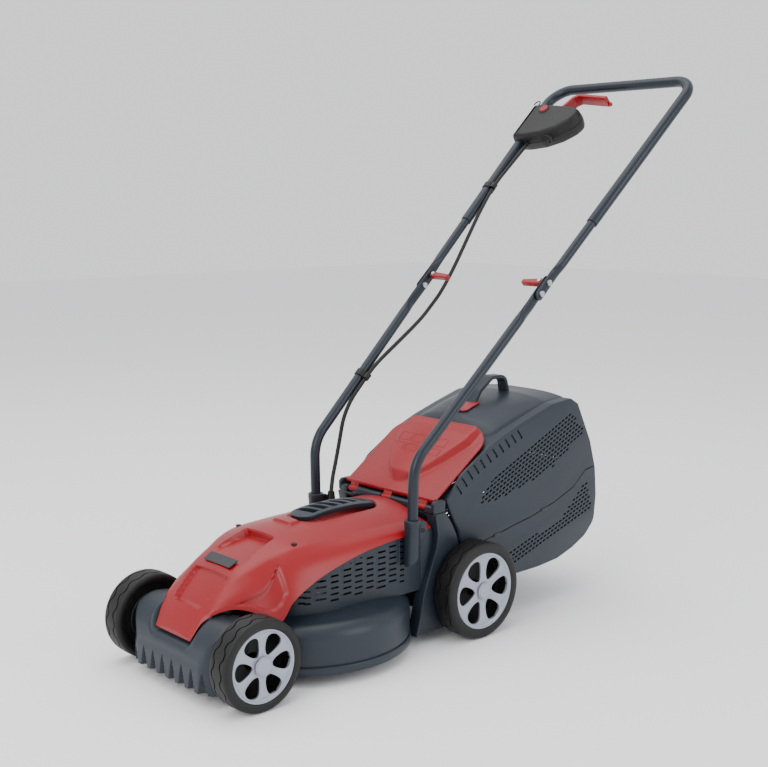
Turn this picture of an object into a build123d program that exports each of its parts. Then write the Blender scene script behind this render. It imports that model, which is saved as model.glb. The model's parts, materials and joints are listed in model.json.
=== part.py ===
"""Corded electric rotary lawn mower with a rear grass box, as separate pieces.

Units are millimetres. +Z is up, the mower faces -Y and +X is the operator's left-hand side. The origin is on the ground under the middle of the whole machine.
"""
from build123d import *
import math
import os

# ---------------------------------------------------------------- driving dimensions
WHEELBASE = 475.1
REAR_AXLE_Y = -19.0
FRONT_AXLE_Y = REAR_AXLE_Y - WHEELBASE
REAR_R = 85.0            # rear wheel, over the tread
FRONT_R = 72.1           # front wheel, over the tread
RIM_SHARE = 0.794        # silver trim radius over wheel radius
WHEEL_FACE_X = 173.7     # outer face of each wheel
TYRE_W = 43.3
AXLE_R = 5.0
RUNNING = 0.05           # radial clearance of a shaft in its bore
HEIGHT_TRAVEL = 40.0     # cutting height adjustment

BLADE_Y = -280.0         # motor and blade axis
SKIRT_R = 180.0
LIP_Z = 19.0
WALL = 3.0
DECK_TOP_Z = 104.0
SHROUD_R = 117.0
SHROUD_Y = -303.0        # centre of the shroud's round front
BODY_X = 126.0           # half width of the rear body and of the grass box
BUMPER_X = 118.0
BUMPER_Y = -553.0
BLADE_TIP_R = 160.0
BLADE_Z = 42.0

PIVOT_Y = 135.6          # fold bolt of the handle
PIVOT_Z = 592.3
HANDLE_TILT = 43.1       # degrees above the horizontal
HANDLE_LEN = 574.8       # fold bolt to the middle of the top bar
LOWER_TUBE_R = 9.0
MID_TUBE_R = 8.5
BAR_R = 10.5
TUBE_WALL = 1.2
STEM_Y = -151.0          # vertical stem of the lower tubes
STEM_X = 127.5
STEM_TOP_Z = 323.0
STEM_FOOT_Z = 162.0

HINGE_Y = -92.0          # discharge flap hinge
HINGE_Z = 233.0
FLAP_TILT = 35.3
CABLE_R = 3.75

os.makedirs("parts", exist_ok=True)


# ---------------------------------------------------------------- shared helpers
def save(built, name):
    """Label a finished piece and write its STEP file."""
    built.label = name
    export_step(built, "parts/" + name + ".step")


def side_slab(points, half, mode=Mode.ADD):
    """Extrude a closed (y, z) outline by the same amount to both sides of x = 0."""
    with BuildSketch(Plane.YZ) as face:
        with BuildLine():
            Polyline(*points, close=True)
        make_face()
    extrude(face.sketch, amount=half, both=True, mode=mode)


def plan_slab(points, low, high, mode=Mode.ADD):
    """Extrude a closed (x, y) outline from one height to another."""
    with BuildSketch(Plane.XY.offset(low)) as face:
        with BuildLine():
            Polyline(*points, close=True)
        make_face()
    extrude(face.sketch, amount=high - low, mode=mode)


def block(low, high, mode=Mode.ADD):
    """A box from its lowest to its highest corner."""
    size = [b - a for a, b in zip(low, high)]
    middle = [(a + b) / 2 for a, b in zip(low, high)]
    with Locations(tuple(middle)):
        Box(*size, mode=mode)


def along_x(y, z, x=0.0):
    """A plane whose normal is +X, with +Y to its right."""
    return Plane(origin=(x, y, z), x_dir=(0, 1, 0), z_dir=(1, 0, 0))


COS_H = math.cos(math.radians(HANDLE_TILT))
SIN_H = math.sin(math.radians(HANDLE_TILT))
HANDLE_N = Vector(0, -SIN_H, COS_H)


def on_handle(x, s, n=0.0):
    """A point of the handle's plane: s along the slope from the fold bolt, n above it."""
    return Vector(x, PIVOT_Y + s * COS_H - n * SIN_H, PIVOT_Z + s * SIN_H + n * COS_H)


def handle_plane(s=0.0, n=0.0, x=0.0):
    """The handle's plane: its x is +X, its y runs up the slope and its z is the normal."""
    return Plane(origin=on_handle(x, s, n), x_dir=(1, 0, 0), z_dir=HANDLE_N)


def handle_x(s, at_pivot=152.1):
    """Half the distance between the splayed handle tubes at s."""
    return at_pivot + 0.0415 * s


# ---------------------------------------------------------------- deck
SHOULDER_R = 26.0
SHOULDER_X = 152.0
SHOULDER_Z = 72.5


def drum(shrink):
    """The round blade housing, or the space inside it when shrink is the wall."""
    side = SKIRT_R - 2.0 - shrink
    bend = SHOULDER_R - shrink
    diag = bend * math.sqrt(0.5)
    base = LIP_Z if shrink == 0 else LIP_Z - 5.0
    with BuildSketch(Plane(origin=(0, BLADE_Y, 0), x_dir=(1, 0, 0), z_dir=(0, -1, 0))) as half:
        with BuildLine():
            Polyline((0, base), (side, base), (side, SHOULDER_Z))
            ThreePointArc((side, SHOULDER_Z), (SHOULDER_X + diag, SHOULDER_Z + diag),
                          (SHOULDER_X, SHOULDER_Z + bend))
            Polyline((SHOULDER_X, SHOULDER_Z + bend), (124, DECK_TOP_Z - shrink),
                     (0, DECK_TOP_Z - shrink), (0, base))
        make_face()
    return revolve(half.sketch, axis=Axis((0, BLADE_Y, 0), (0, 0, 1)), mode=Mode.PRIVATE)


def bumper(shrink):
    """The front body: a side profile cut to a plan with round corners."""
    half = BUMPER_X - shrink
    front = BUMPER_Y + shrink
    bend = 52.0 - shrink
    middle_y = BUMPER_Y + 52.0
    base = LIP_Z + 1 if shrink == 0 else LIP_Z - 5.0
    diag = bend * math.sqrt(0.5)
    with BuildPart() as made:
        with BuildSketch(Plane.YZ) as side:
            with BuildLine():
                Polyline((front, base), (front, 72))
                ThreePointArc((front, 72), (middle_y - diag, 72 + diag), (middle_y, 72 + bend))
                Polyline((middle_y, 72 + bend), (-455, 72 + bend), (-425, 100 - shrink),
                         (-425, base), (front, base))
            make_face()
        extrude(amount=half, both=True)
        with BuildSketch() as plan:
            with Locations((0, (front - 425) / 2)):
                Rectangle(2 * half, -425 - front)
            fillet(plan.vertices().group_by(Axis.Y)[0], radius=38)
        extrude(amount=200, mode=Mode.INTERSECT)
        block((-50 - shrink, -600, 88 - shrink), (50 + shrink, -400, 200), mode=Mode.SUBTRACT)
    return made.part


REAR_SIDE = [(-143, 20), (-134, 49), (-125, 87), (-115, 115), (-101, 144), (-87, 166),
             (-73, 188), (-69, 200), (-95, 219), (-99, 226), (-71, 226), (-55, 205), (-42, 180),
             (-36, 158), (-27, 138), (-4, 122), (18, 110), (22, 60), (12, 32), (-10, 20)]
CHUTE = [(-150, 62), (-118, 135), (-92, 182), (-76, 214), (-40, 222), (10, 222), (30, 128),
         (-10, 118), (-60, 96), (-110, 62)]

# the round blade housing with its rolled lip, open to the chute at the back
with BuildPart() as blade_housing:
    add(drum(0))
    with BuildSketch(Plane.XY.offset(LIP_Z)) as rolled_lip:
        with Locations((0, BLADE_Y)):
            Circle(SKIRT_R)
    extrude(rolled_lip.sketch, amount=14)
    housing_outside = blade_housing.part
    add(drum(WALL), mode=Mode.SUBTRACT)
    with BuildPart(mode=Mode.PRIVATE) as chute_space:
        side_slab(CHUTE, 108)
    add(chute_space.part, mode=Mode.SUBTRACT)
    with Locations((0, BLADE_Y, DECK_TOP_Z)):
        Cylinder(26, 20, mode=Mode.SUBTRACT)
save(blade_housing.part, "blade_housing")

# the front and rear bodies, welded to the housing
with BuildPart() as deck_shell:
    add(bumper(0))
    side_slab(REAR_SIDE, BODY_X)
    # hollow both bodies
    with BuildPart(mode=Mode.PRIVATE) as bumper_space:
        add(bumper(WALL))
        add(drum(0), mode=Mode.SUBTRACT)
    add(bumper_space.part, mode=Mode.SUBTRACT)
    with BuildPart(mode=Mode.PRIVATE) as rear_space:
        with BuildSketch(Plane.YZ) as rear_outline:
            with BuildLine():
                Polyline(*REAR_SIDE, close=True)
            make_face()
            offset(amount=-WALL)
        extrude(amount=BODY_X - WALL, both=True)
        block((-BODY_X + WALL, -139, LIP_Z - 5), (BODY_X - WALL, 12, 40))
        add(drum(0), mode=Mode.SUBTRACT)
    add(rear_space.part, mode=Mode.SUBTRACT)
    # the grass chute, out of the sloping rear face
    add(chute_space.part, mode=Mode.SUBTRACT)
    # chute floor over the rear axle
    side_slab([(-112, 60), (-60, 92), (-10, 112), (18, 117), (18, 114), (-10, 109), (-60, 89),
               (-112, 57)], BODY_X - WALL)
    add(housing_outside, mode=Mode.SUBTRACT)
    # comb: tapered flutes between the front teeth
    flutes = [((i + 0.5) * 27.0, BUMPER_Y - 3.0, 43.0) for i in range(-4, 4)]
    with Locations(*flutes):
        Cone(bottom_radius=9, top_radius=2.0, height=54, mode=Mode.SUBTRACT)
    # upright slots that let each axle climb through the side walls
    for axle_y, axle_z in ((FRONT_AXLE_Y, FRONT_R), (REAR_AXLE_Y, REAR_R)):
        for side in (-1, 1):
            with BuildSketch(along_x(axle_y, axle_z - HEIGHT_TRAVEL / 2, side * 90)) as slot:
                SlotOverall(HEIGHT_TRAVEL + 2 * AXLE_R + 1.0, 2 * AXLE_R + 1.0, rotation=90)
            extrude(amount=60 * side, mode=Mode.SUBTRACT)
save(deck_shell.part, "deck_shell")

# one row a station: y, crease half width, crease z, edge half width, edge z, middle z
COVER = [(-543, 45, 93, 49, 90, 95), (-524, 46, 124, 58, 119, 127), (-489, 53, 157, 80, 135, 161),
         (-459, 60, 178, 98, 129, 183), (-424, 69, 194, 119, 109, 201),
         (-399, 76, 204, 121, 136, 212), (-367, 82, 211, 121, 155, 223),
         (-319, 86, 213, 121, 173, 230), (-239, 88, 214, 121, 191, 234),
         (-101, 91, 216, 121, 203, 235)]
ARCH = [(row[0], row[4]) for row in COVER]
with BuildPart() as motor_shroud:
    for radius, mode in ((SHROUD_R, Mode.ADD), (SHROUD_R - 2.5, Mode.SUBTRACT)):
        with BuildSketch(Plane.XY.offset(DECK_TOP_Z - 6)) as plan:
            with Locations((0, SHROUD_Y)):
                Circle(radius)
            with Locations((0, (SHROUD_Y - 80) / 2)):
                Rectangle(2 * radius, -80 - SHROUD_Y)
        extrude(amount=110, mode=mode)
    add(drum(0), mode=Mode.SUBTRACT)
    side_slab(REAR_SIDE, BODY_X + 1, mode=Mode.SUBTRACT)
    side_slab([(y, z - 0.6) for y, z in ARCH] + [(-60, 203), (-60, 300), (-560, 300), (-560, 90)],
              BODY_X, mode=Mode.SUBTRACT)
    # cooling slots: five columns a side
    for side in (-1, 1):
        for column, (y, low, high) in enumerate(((-366, 122, 142), (-338, 118, 158),
                                                 (-308, 114, 168), (-278, 118, 174),
                                                 (-248, 122, 182))):
            x_mid = side * (SHROUD_R if y > SHROUD_Y else
                            math.sqrt(SHROUD_R ** 2 - (y - SHROUD_Y) ** 2))
            rows = int((high - low) / 10)
            with Locations(*[(x_mid, y, low + 10 * row) for row in range(rows)]):
                Box(30, 21, 4, mode=Mode.SUBTRACT)
save(motor_shroud.part, "motor_shroud")

# ---------------------------------------------------------------- top cover
COVER_T = 2.5


def cover_solid(shrink):
    """The cover's outer form, or the space under it when shrink is its wall."""
    rows = [list(row) for row in COVER]
    rows[0][0] += shrink
    rows[-1][0] -= shrink
    with BuildPart() as made:
        for y, crease_x, crease_z, edge_x, edge_z, mid_z in rows:
            drop = 1.0 if shrink else 0.0
            with BuildSketch(Plane.XZ.offset(-y)):
                with BuildLine():
                    ex, ez = edge_x - shrink * 1.1, edge_z - drop
                    cx, cz = crease_x - shrink * 0.5, crease_z - shrink
                    Polyline((-ex, ez), (-cx, cz), (0, mid_z - shrink), (cx, cz), (ex, ez),
                             close=True)
                make_face()
        loft(ruled=True)
    return made.part


SCOOP_Y = -217.0
with BuildPart() as top_cover:
    add(cover_solid(0))
    add(cover_solid(COVER_T), mode=Mode.SUBTRACT)
    # hand recess under the carry handle: a tub hung from the skin
    with BuildPart(mode=Mode.PRIVATE) as tub:
        with BuildSketch(Plane.XY.offset(206)):
            with Locations((0, SCOOP_Y)):
                SlotOverall(176, 92, rotation=90)
        extrude(amount=60)
        add(cover_solid(0), mode=Mode.INTERSECT)
    add(tub.part)
    with BuildSketch(Plane.XY.offset(206 + COVER_T)):
        with Locations((0, SCOOP_Y)):
            SlotOverall(176 - 2 * COVER_T, 92 - 2 * COVER_T, rotation=90)
    extrude(amount=60, mode=Mode.SUBTRACT)
    # clear the handle sockets, the fenders and the cable entry
    for side in (-1, 1):
        with Locations((side * STEM_X, STEM_Y, 200)):
            Cylinder(14.5, 100, mode=Mode.SUBTRACT)
    with Locations((-109, -131, 210)):
        Cylinder(7.85, 60, mode=Mode.SUBTRACT)
    with Locations((-76, -361, 215), (76, -361, 215), (-60, -115, 225), (60, -115, 225)):
        Cylinder(2.6, 60, mode=Mode.SUBTRACT)
    add(bumper(-0.5), mode=Mode.SUBTRACT)
save(top_cover.part, "top_cover")

with BuildPart() as body_screws:
    for x, y, z in ((76, -361, 213.5), (60, -115, 223.0)):
        for side in (-1, 1):
            with Locations((side * x, y, z - 10)):
                Cylinder(2.2, 22)
            with Locations((side * x, y, z + 1)):
                Cylinder(4.5, 2.5)
save(body_screws.part, "body_screws")

HANDLE_BAR_Y0, HANDLE_BAR_Y1 = -302.0, -132.0
with BuildPart() as carry_handle:
    middle = (HANDLE_BAR_Y0 + HANDLE_BAR_Y1) / 2
    with BuildSketch(Plane.XY.offset(235)):
        with Locations((0, middle)):
            SlotOverall(HANDLE_BAR_Y1 - HANDLE_BAR_Y0, 54, rotation=90)
    extrude(amount=10)
    fillet(carry_handle.edges().group_by(Axis.Z)[-1], radius=3.5)
    # windows between the slanting ribs
    for i in range(6):
        y = middle + (i - 2.5) * 22.0
        with BuildSketch(Plane.XY.offset(230)):
            with Locations((0, y)):
                with BuildLine():
                    Polyline((-15, y - 8), (15, y - 2), (15, y + 10), (-15, y + 4), close=True)
                make_face()
        extrude(amount=20, mode=Mode.SUBTRACT)
    # feet that stand on the cover at both ends
    for y in (HANDLE_BAR_Y0 + 7, HANDLE_BAR_Y1 - 7):
        with Locations((0, y, 231)):
            Box(22, 10, 9)
    add(cover_solid(0), mode=Mode.SUBTRACT)
save(carry_handle.part, "carry_handle")

with BuildPart() as badge_plate:
    slope = math.degrees(math.atan2(201 - 183, 35))
    plate = Plane(origin=(0, -450, 189.2), x_dir=(1, 0, 0),
                  z_dir=(0, -math.sin(math.radians(slope)), math.cos(math.radians(slope))))
    with BuildSketch(plate):
        RectangleRounded(72, 19, 2)
    extrude(amount=1.4)
    add(cover_solid(0), mode=Mode.SUBTRACT)
save(badge_plate.part, "badge_plate")

# ---------------------------------------------------------------- motor (root side)
MOTOR_BASE_Z = DECK_TOP_Z
with BuildPart() as motor_can:
    with Locations((0, BLADE_Y, MOTOR_BASE_Z)):
        Cylinder(46, 74, align=(Align.CENTER, Align.CENTER, Align.MIN))
        Cylinder(58, 5, align=(Align.CENTER, Align.CENTER, Align.MIN))
    with Locations((0, BLADE_Y, MOTOR_BASE_Z + 5)):
        Cylinder(43.5, 66, align=(Align.CENTER, Align.CENTER, Align.MIN), mode=Mode.SUBTRACT)
    with Locations((0, BLADE_Y, MOTOR_BASE_Z - 1)):
        Cylinder(13.02, 90, align=(Align.CENTER, Align.CENTER, Align.MIN), mode=Mode.SUBTRACT)
    with Locations((0, BLADE_Y, 140)):
        with PolarLocations(45, 8):
            Box(14, 10, 30, mode=Mode.SUBTRACT)
save(motor_can.part, "motor_can")

with BuildPart() as field_magnets:
    with BuildSketch(Plane.XY.offset(118)):
        with Locations((0, BLADE_Y)):
            Circle(43.3)
            Circle(34.5, mode=Mode.SUBTRACT)
            Rectangle(100, 18, mode=Mode.SUBTRACT)
    extrude(amount=42)
save(field_magnets.part, "field_magnets")

with BuildPart() as motor_bearings:
    for z in (MOTOR_BASE_Z - 1, 171):
        with Locations((0, BLADE_Y, z)):
            Cylinder(13, 7, align=(Align.CENTER, Align.CENTER, Align.MIN))
            Cylinder(AXLE_R + RUNNING, 7, align=(Align.CENTER, Align.CENTER, Align.MIN),
                     mode=Mode.SUBTRACT)
save(motor_bearings.part, "motor_bearings")

with BuildPart() as brush_holders:
    for side in (-1, 1):
        block((min(side * 15, side * 32), BLADE_Y - 4, 163), (max(side * 15, side * 32),
                                                              BLADE_Y + 4, 169.5))
save(brush_holders.part, "brush_holders")

# ---------------------------------------------------------------- rotor
with BuildPart() as motor_shaft:
    with Locations((0, BLADE_Y, 50)):
        Cylinder(AXLE_R, 130, align=(Align.CENTER, Align.CENTER, Align.MIN))
save(motor_shaft.part, "motor_shaft")

with BuildPart() as rotor_core:
    with Locations((0, BLADE_Y, 120)):
        Cylinder(33.5, 38, align=(Align.CENTER, Align.CENTER, Align.MIN))
        Cylinder(AXLE_R, 38, align=(Align.CENTER, Align.CENTER, Align.MIN), mode=Mode.SUBTRACT)
    with Locations((0, BLADE_Y, 139)):
        with PolarLocations(33, 12):
            Box(7, 3, 38, mode=Mode.SUBTRACT)
save(rotor_core.part, "rotor_core")

with BuildPart() as commutator:
    with Locations((0, BLADE_Y, 160)):
        Cylinder(14, 10, align=(Align.CENTER, Align.CENTER, Align.MIN))
        Cylinder(AXLE_R, 10, align=(Align.CENTER, Align.CENTER, Align.MIN), mode=Mode.SUBTRACT)
save(commutator.part, "commutator")

with BuildPart() as cooling_fan:
    with Locations((0, BLADE_Y, 80)):
        Cylinder(55, 2.5, align=(Align.CENTER, Align.CENTER, Align.MIN))
        Cylinder(12, 14, align=(Align.CENTER, Align.CENTER, Align.MIN))
    with Locations((0, BLADE_Y, 88)):
        with PolarLocations(34, 8):
            Box(34, 2.2, 12)
    with Locations((0, BLADE_Y, 80)):
        Cylinder(AXLE_R, 14, align=(Align.CENTER, Align.CENTER, Align.MIN), mode=Mode.SUBTRACT)
save(cooling_fan.part, "cooling_fan")

with BuildPart() as blade_carrier:
    with Locations((0, BLADE_Y, BLADE_Z + 2)):
        Cylinder(24, 6, align=(Align.CENTER, Align.CENTER, Align.MIN))
        Cylinder(11, 22, align=(Align.CENTER, Align.CENTER, Align.MIN))
    with Locations((0, BLADE_Y, 50)):
        Cylinder(AXLE_R, 40, align=(Align.CENTER, Align.CENTER, Align.MIN), mode=Mode.SUBTRACT)
    with Locations((0, BLADE_Y, 40)):
        Cylinder(4, 40, align=(Align.CENTER, Align.CENTER, Align.MIN), mode=Mode.SUBTRACT)
save(blade_carrier.part, "blade_carrier")

with BuildPart() as cutting_blade:
    with BuildSketch(Plane.XY.offset(BLADE_Z - 1)):
        with Locations((0, BLADE_Y)):
            Rectangle(2 * BLADE_TIP_R, 46)
            with Locations((-110, 20), (110, -20)):
                Rectangle(80, 12, mode=Mode.SUBTRACT)
            Circle(4.1, mode=Mode.SUBTRACT)
    extrude(amount=3)
    # lifted trailing wings
    for side in (-1, 1):
        wing = Plane(origin=(side * 126, BLADE_Y + side * 14, BLADE_Z + 1.5), x_dir=(side, 0, 0),
                     z_dir=(0, -0.5 * side, 0.866))
        with BuildSketch(wing):
            with Locations((0, 9)):
                Rectangle(60, 18)
        extrude(amount=2.5, both=False)
save(cutting_blade.part, "cutting_blade")

with BuildPart() as blade_bolt:
    with BuildSketch(Plane.XY.offset(BLADE_Z - 9)):
        with Locations((0, BLADE_Y)):
            RegularPolygon(radius=8, side_count=6)
    extrude(amount=5.5)
    with Locations((0, BLADE_Y, BLADE_Z - 3.5)):
        Cylinder(14, 2.4, align=(Align.CENTER, Align.CENTER, Align.MIN))
        Cylinder(3.9, 11, align=(Align.CENTER, Align.CENTER, Align.MIN))
save(blade_bolt.part, "blade_bolt")

# ---------------------------------------------------------------- axles and wheels
for name, y, z in (("front_axle_rod", FRONT_AXLE_Y, FRONT_R), ("rear_axle_rod", REAR_AXLE_Y, REAR_R)):
    with BuildPart() as rod:
        with BuildSketch(along_x(y, z, -168)):
            Circle(AXLE_R)
        extrude(amount=336)
        for side in (-1, 1):
            with BuildSketch(along_x(y, z, side * 127.6)):
                Circle(9.5)
            extrude(amount=1.4 * side)
    save(rod.part, name)

SPOKES = 6
for name, y, radius in (("front", FRONT_AXLE_Y, FRONT_R), ("rear", REAR_AXLE_Y, REAR_R)):
    rim = radius * RIM_SHARE
    for hand, side in (("right", -1), ("left", 1)):
        inner = side * (WHEEL_FACE_X - TYRE_W)

        def disc(start, outer_radius, inner_radius, width, mode=Mode.ADD):
            """A ring whose faces are start and start + width outward of the inner face."""
            with BuildSketch(along_x(y, radius, inner + side * start)) as ring:
                Circle(outer_radius)
                if inner_radius:
                    Circle(inner_radius, mode=Mode.SUBTRACT)
            extrude(ring.sketch, amount=side * width, mode=mode)

        with BuildPart() as tyre:
            disc(0, radius, rim, TYRE_W)
            disc(4, rim, 0, 5)
            disc(4, 15, 0, 33)
            disc(0, AXLE_R + RUNNING, 0, 60, Mode.SUBTRACT)
            for i in range(18):
                turn = 2 * math.pi * (i + 0.5 * (side > 0)) / 18
                for shoulder in (-1, 1):
                    centre_x = inner + side * (TYRE_W / 2 + shoulder * 16.5)
                    angle = turn + shoulder * math.pi / 36
                    notch = Plane(origin=(centre_x, y + radius * math.cos(angle),
                                          radius + radius * math.sin(angle)),
                                  x_dir=(1, 0, 0),
                                  z_dir=(0, math.cos(angle), math.sin(angle)))
                    with BuildSketch(notch) as groove:
                        Rectangle(10.4, 2.2)
                    extrude(groove.sketch, amount=1.6, both=True, mode=Mode.SUBTRACT)
        save(tyre.part, "tyre_" + name + "_" + hand)

        with BuildPart() as trim:
            disc(TYRE_W - 7.5, rim - 0.02, rim - 4.0, 7.5)
            disc(TYRE_W - 6.0, rim - 3.5, 0, 4.5)
            for i in range(SPOKES):
                turn = math.radians(60 * i + 30)
                window = Plane(origin=(inner, y, radius), z_dir=(1, 0, 0),
                               x_dir=(0, math.cos(turn), math.sin(turn)))
                r0, r1 = rim * 0.36, rim * 0.86
                with BuildSketch(window) as opening:
                    with BuildLine():
                        Polyline((r0, -2.5), (r1, -rim * 0.23), (r1, rim * 0.23), (r0, 2.5),
                                 close=True)
                    make_face()
                    fillet(opening.vertices(), radius=2.2)
                extrude(opening.sketch, amount=side * 60, mode=Mode.SUBTRACT)
            disc(TYRE_W - 30, 12, 0, 40, Mode.SUBTRACT)
        save(trim.part, "trim_" + name + "_" + hand)

        with BuildPart() as cap:
            disc(TYRE_W - 5.5, 11.9, 0, 6.2)
            disc(TYRE_W - 1.4, 15.5, 0, 2.1)
        save(cap.part, "cap_" + name + "_" + hand)

# ---------------------------------------------------------------- handle, fixed half
with BuildPart() as handle_sockets:
    for side in (-1, 1):
        stem = Plane(origin=(side * STEM_X, STEM_Y, STEM_FOOT_Z),
                     z_dir=(side * 3.5, 0, STEM_TOP_Z - STEM_FOOT_Z))
        with BuildSketch(stem.offset(-8)) as sleeve:
            Circle(13.6)
        extrude(sleeve.sketch, amount=72)
        block((side * STEM_X - 4, STEM_Y, 170), (side * STEM_X + 4, STEM_Y + 34, 222))
        with BuildSketch(stem) as stem_bore:
            Circle(LOWER_TUBE_R + 0.02)
        extrude(stem_bore.sketch, amount=80, mode=Mode.SUBTRACT)
        with BuildSketch(along_x(STEM_Y + 24, 205, side * STEM_X - 20)):
            Circle(2.3)
        extrude(amount=40, mode=Mode.SUBTRACT)
    side_slab(REAR_SIDE, BODY_X, mode=Mode.SUBTRACT)
    with BuildPart(mode=Mode.PRIVATE) as shroud_block:
        plan_slab([(-SHROUD_R - 0.1, SHROUD_Y), (SHROUD_R + 0.1, SHROUD_Y),
                   (SHROUD_R + 0.1, -60), (-SHROUD_R - 0.1, -60)], 90, 210)
    add(shroud_block.part, mode=Mode.SUBTRACT)
    side_slab([(-180, 130), (-180, 186), (-118, 160), (-118, 130)], 160, mode=Mode.SUBTRACT)
save(handle_sockets.part, "handle_sockets")

TONGUE_T = 5.0
TONGUE_W = 21.0


def tongue(x_mid, s0, s1, holes):
    """A flattened tube end lying along the slope, with bolt holes across it."""
    flat = Plane(origin=on_handle(x_mid - TONGUE_T / 2, (s0 + s1) / 2), x_dir=(0, COS_H, SIN_H),
                 z_dir=(1, 0, 0))
    with BuildSketch(flat) as outline:
        SlotOverall(s1 - s0, TONGUE_W)
    extrude(outline.sketch, amount=TONGUE_T)
    for s in holes:
        with BuildSketch(Plane(origin=on_handle(x_mid - 20, s), z_dir=(1, 0, 0))) as hole:
            Circle(3.1)
        extrude(hole.sketch, amount=40, mode=Mode.SUBTRACT)


LOCK_S = 27.0
LOWER_X = 147.0          # middle of the lower tubes' flattened ends
UPPER_X = LOWER_X + TONGUE_T + 0.4
LEVER_X = LOWER_X - TONGUE_T / 2 - 9.0      # cross pins of the clamp levers
for hand, side in (("right", -1), ("left", 1)):
    foot = (side * STEM_X, STEM_Y, STEM_FOOT_Z)
    bend = (side * (STEM_X + 3.5), STEM_Y, STEM_TOP_Z)
    top = on_handle(side * LOWER_X, -24)
    with BuildPart() as lower_tube:
        with BuildLine() as route:
            FilletPolyline(foot, bend, tuple(top), radius=70)
        start = Plane(origin=route.line @ 0, z_dir=route.line % 0)
        with BuildSketch(start):
            Circle(LOWER_TUBE_R)
            Circle(LOWER_TUBE_R - TUBE_WALL, mode=Mode.SUBTRACT)
        sweep(path=route.line)
        tongue(side * LOWER_X, -42, LOCK_S + 13, (0, LOCK_S))
        # open notch that lets the clamp bolt swing out as the handle folds
        for step in range(8):
            swing = math.radians(7 * step)
            at = on_handle(side * LOWER_X - 10, LOCK_S * math.cos(swing), LOCK_S * math.sin(swing))
            with BuildSketch(Plane(origin=at, z_dir=(1, 0, 0))) as notch:
                Circle(3.5)
            extrude(notch.sketch, amount=20, mode=Mode.SUBTRACT)
    save(lower_tube.part, hand + "_lower_tube")

with BuildPart() as hinge_bar:
    side_slab([(-99, 226.4), (-99, 237), (-96, 239), (-88, 239), (-85, 236), (-85, 226.4)], 118.5)
    for side in (-1, 1):
        block((min(side * 118.5, side * BODY_X), -99, 226.4),
              (max(side * 118.5, side * BODY_X), -71, 247))
    with BuildSketch(along_x(HINGE_Y, HINGE_Z, -130)):
        Circle(2.55)
    extrude(amount=260, mode=Mode.SUBTRACT)
    for x in (-90, 0, 90):
        block((x - 12.4, -100, 227.5), (x + 12.4, -84, 250), mode=Mode.SUBTRACT)
save(hinge_bar.part, "hinge_bar")

with BuildPart() as hinge_pin:
    with BuildSketch(along_x(HINGE_Y, HINGE_Z, -122)):
        Circle(2.5)
    extrude(amount=244)
save(hinge_pin.part, "hinge_pin")

with BuildPart() as flap_spring:
    for side in (-1, 1):
        with BuildSketch(along_x(HINGE_Y, HINGE_Z, side * 90 - 7)):
            Circle(4.0)
            Circle(2.8, mode=Mode.SUBTRACT)
        extrude(amount=14)
save(flap_spring.part, "flap_spring")

# ---------------------------------------------------------------- discharge flap
COS_F = math.cos(math.radians(FLAP_TILT))
SIN_F = math.sin(math.radians(FLAP_TILT))
FLAP_FOOT = Vector(0, -86, 247)
FLAP_LEN = 174.0
with BuildPart() as discharge_flap:
    flap_plane = Plane(origin=FLAP_FOOT, x_dir=(1, 0, 0), z_dir=(0, -SIN_F, COS_F))
    with BuildSketch(flap_plane) as flap_outline:
        with BuildLine():
            Polyline((-117, 0), (117, 0), (116, 128), (84, FLAP_LEN), (-84, FLAP_LEN),
                     (-116, 128), close=True)
        make_face()
        fillet(flap_outline.vertices().group_by(Axis.Y)[1:], radius=18)
    extrude(amount=-4)
    # raised dome in the middle
    with BuildSketch(flap_plane) as dome_foot:
        with BuildLine():
            Polyline((-62, 30), (62, 30), (84, 150), (-84, 150), close=True)
        make_face()
        fillet(dome_foot.vertices(), radius=14)
    extrude(amount=9, taper=35)
    # rolled front lip and three knuckles round the pin
    side_slab([(-88, 239.5), (-90, 248), (-84, 248), (-84, 239.5)], 117)
    for x, half in ((-90, 11), (0, 11), (90, 11)):
        with BuildSketch(along_x(HINGE_Y, HINGE_Z, x - half)):
            Circle(5.2)
        extrude(amount=2 * half)
        block((x - half, HINGE_Y - 2, HINGE_Z), (x + half, -84, 247))
    for x in (-90, 90):
        block((x - 7.2, -110, 220), (x + 7.2, -85.5, 241.5), mode=Mode.SUBTRACT)
    with BuildSketch(along_x(HINGE_Y, HINGE_Z, -130)):
        Circle(2.55)
    extrude(amount=260, mode=Mode.SUBTRACT)
save(discharge_flap.part, "discharge_flap")

# ---------------------------------------------------------------- grass box
BOX_SIDE = [(-66, 243), (-29, 284), (38, 325), (93, 347), (149, 365), (210, 383), (262, 388),
            (283, 376), (322, 300), (339, 245), (344, 190), (339, 140), (312, 113), (275, 96),
            (232, 83), (178, 78), (100, 77), (30, 80), (28, 118), (0, 128), (-22, 144),
            (-31, 162), (-37, 184), (-50, 208)]
BOX_SEAM = [(-120, 146), (7, 154), (64, 163), (104, 171), (153, 179), (218, 196), (272, 216),
            (307, 244), (420, 262), (420, 0), (-120, 0)]
BOX_T = 2.5


def box_solid(shrink):
    """The grass box's outer form, or the space inside it."""
    with BuildPart() as made:
        with BuildSketch(Plane.YZ) as side:
            with BuildLine():
                Polyline(*BOX_SIDE, close=True)
            make_face()
            if shrink:
                offset(amount=-shrink)
        extrude(amount=BODY_X - shrink, both=True)
    return made.part


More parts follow.
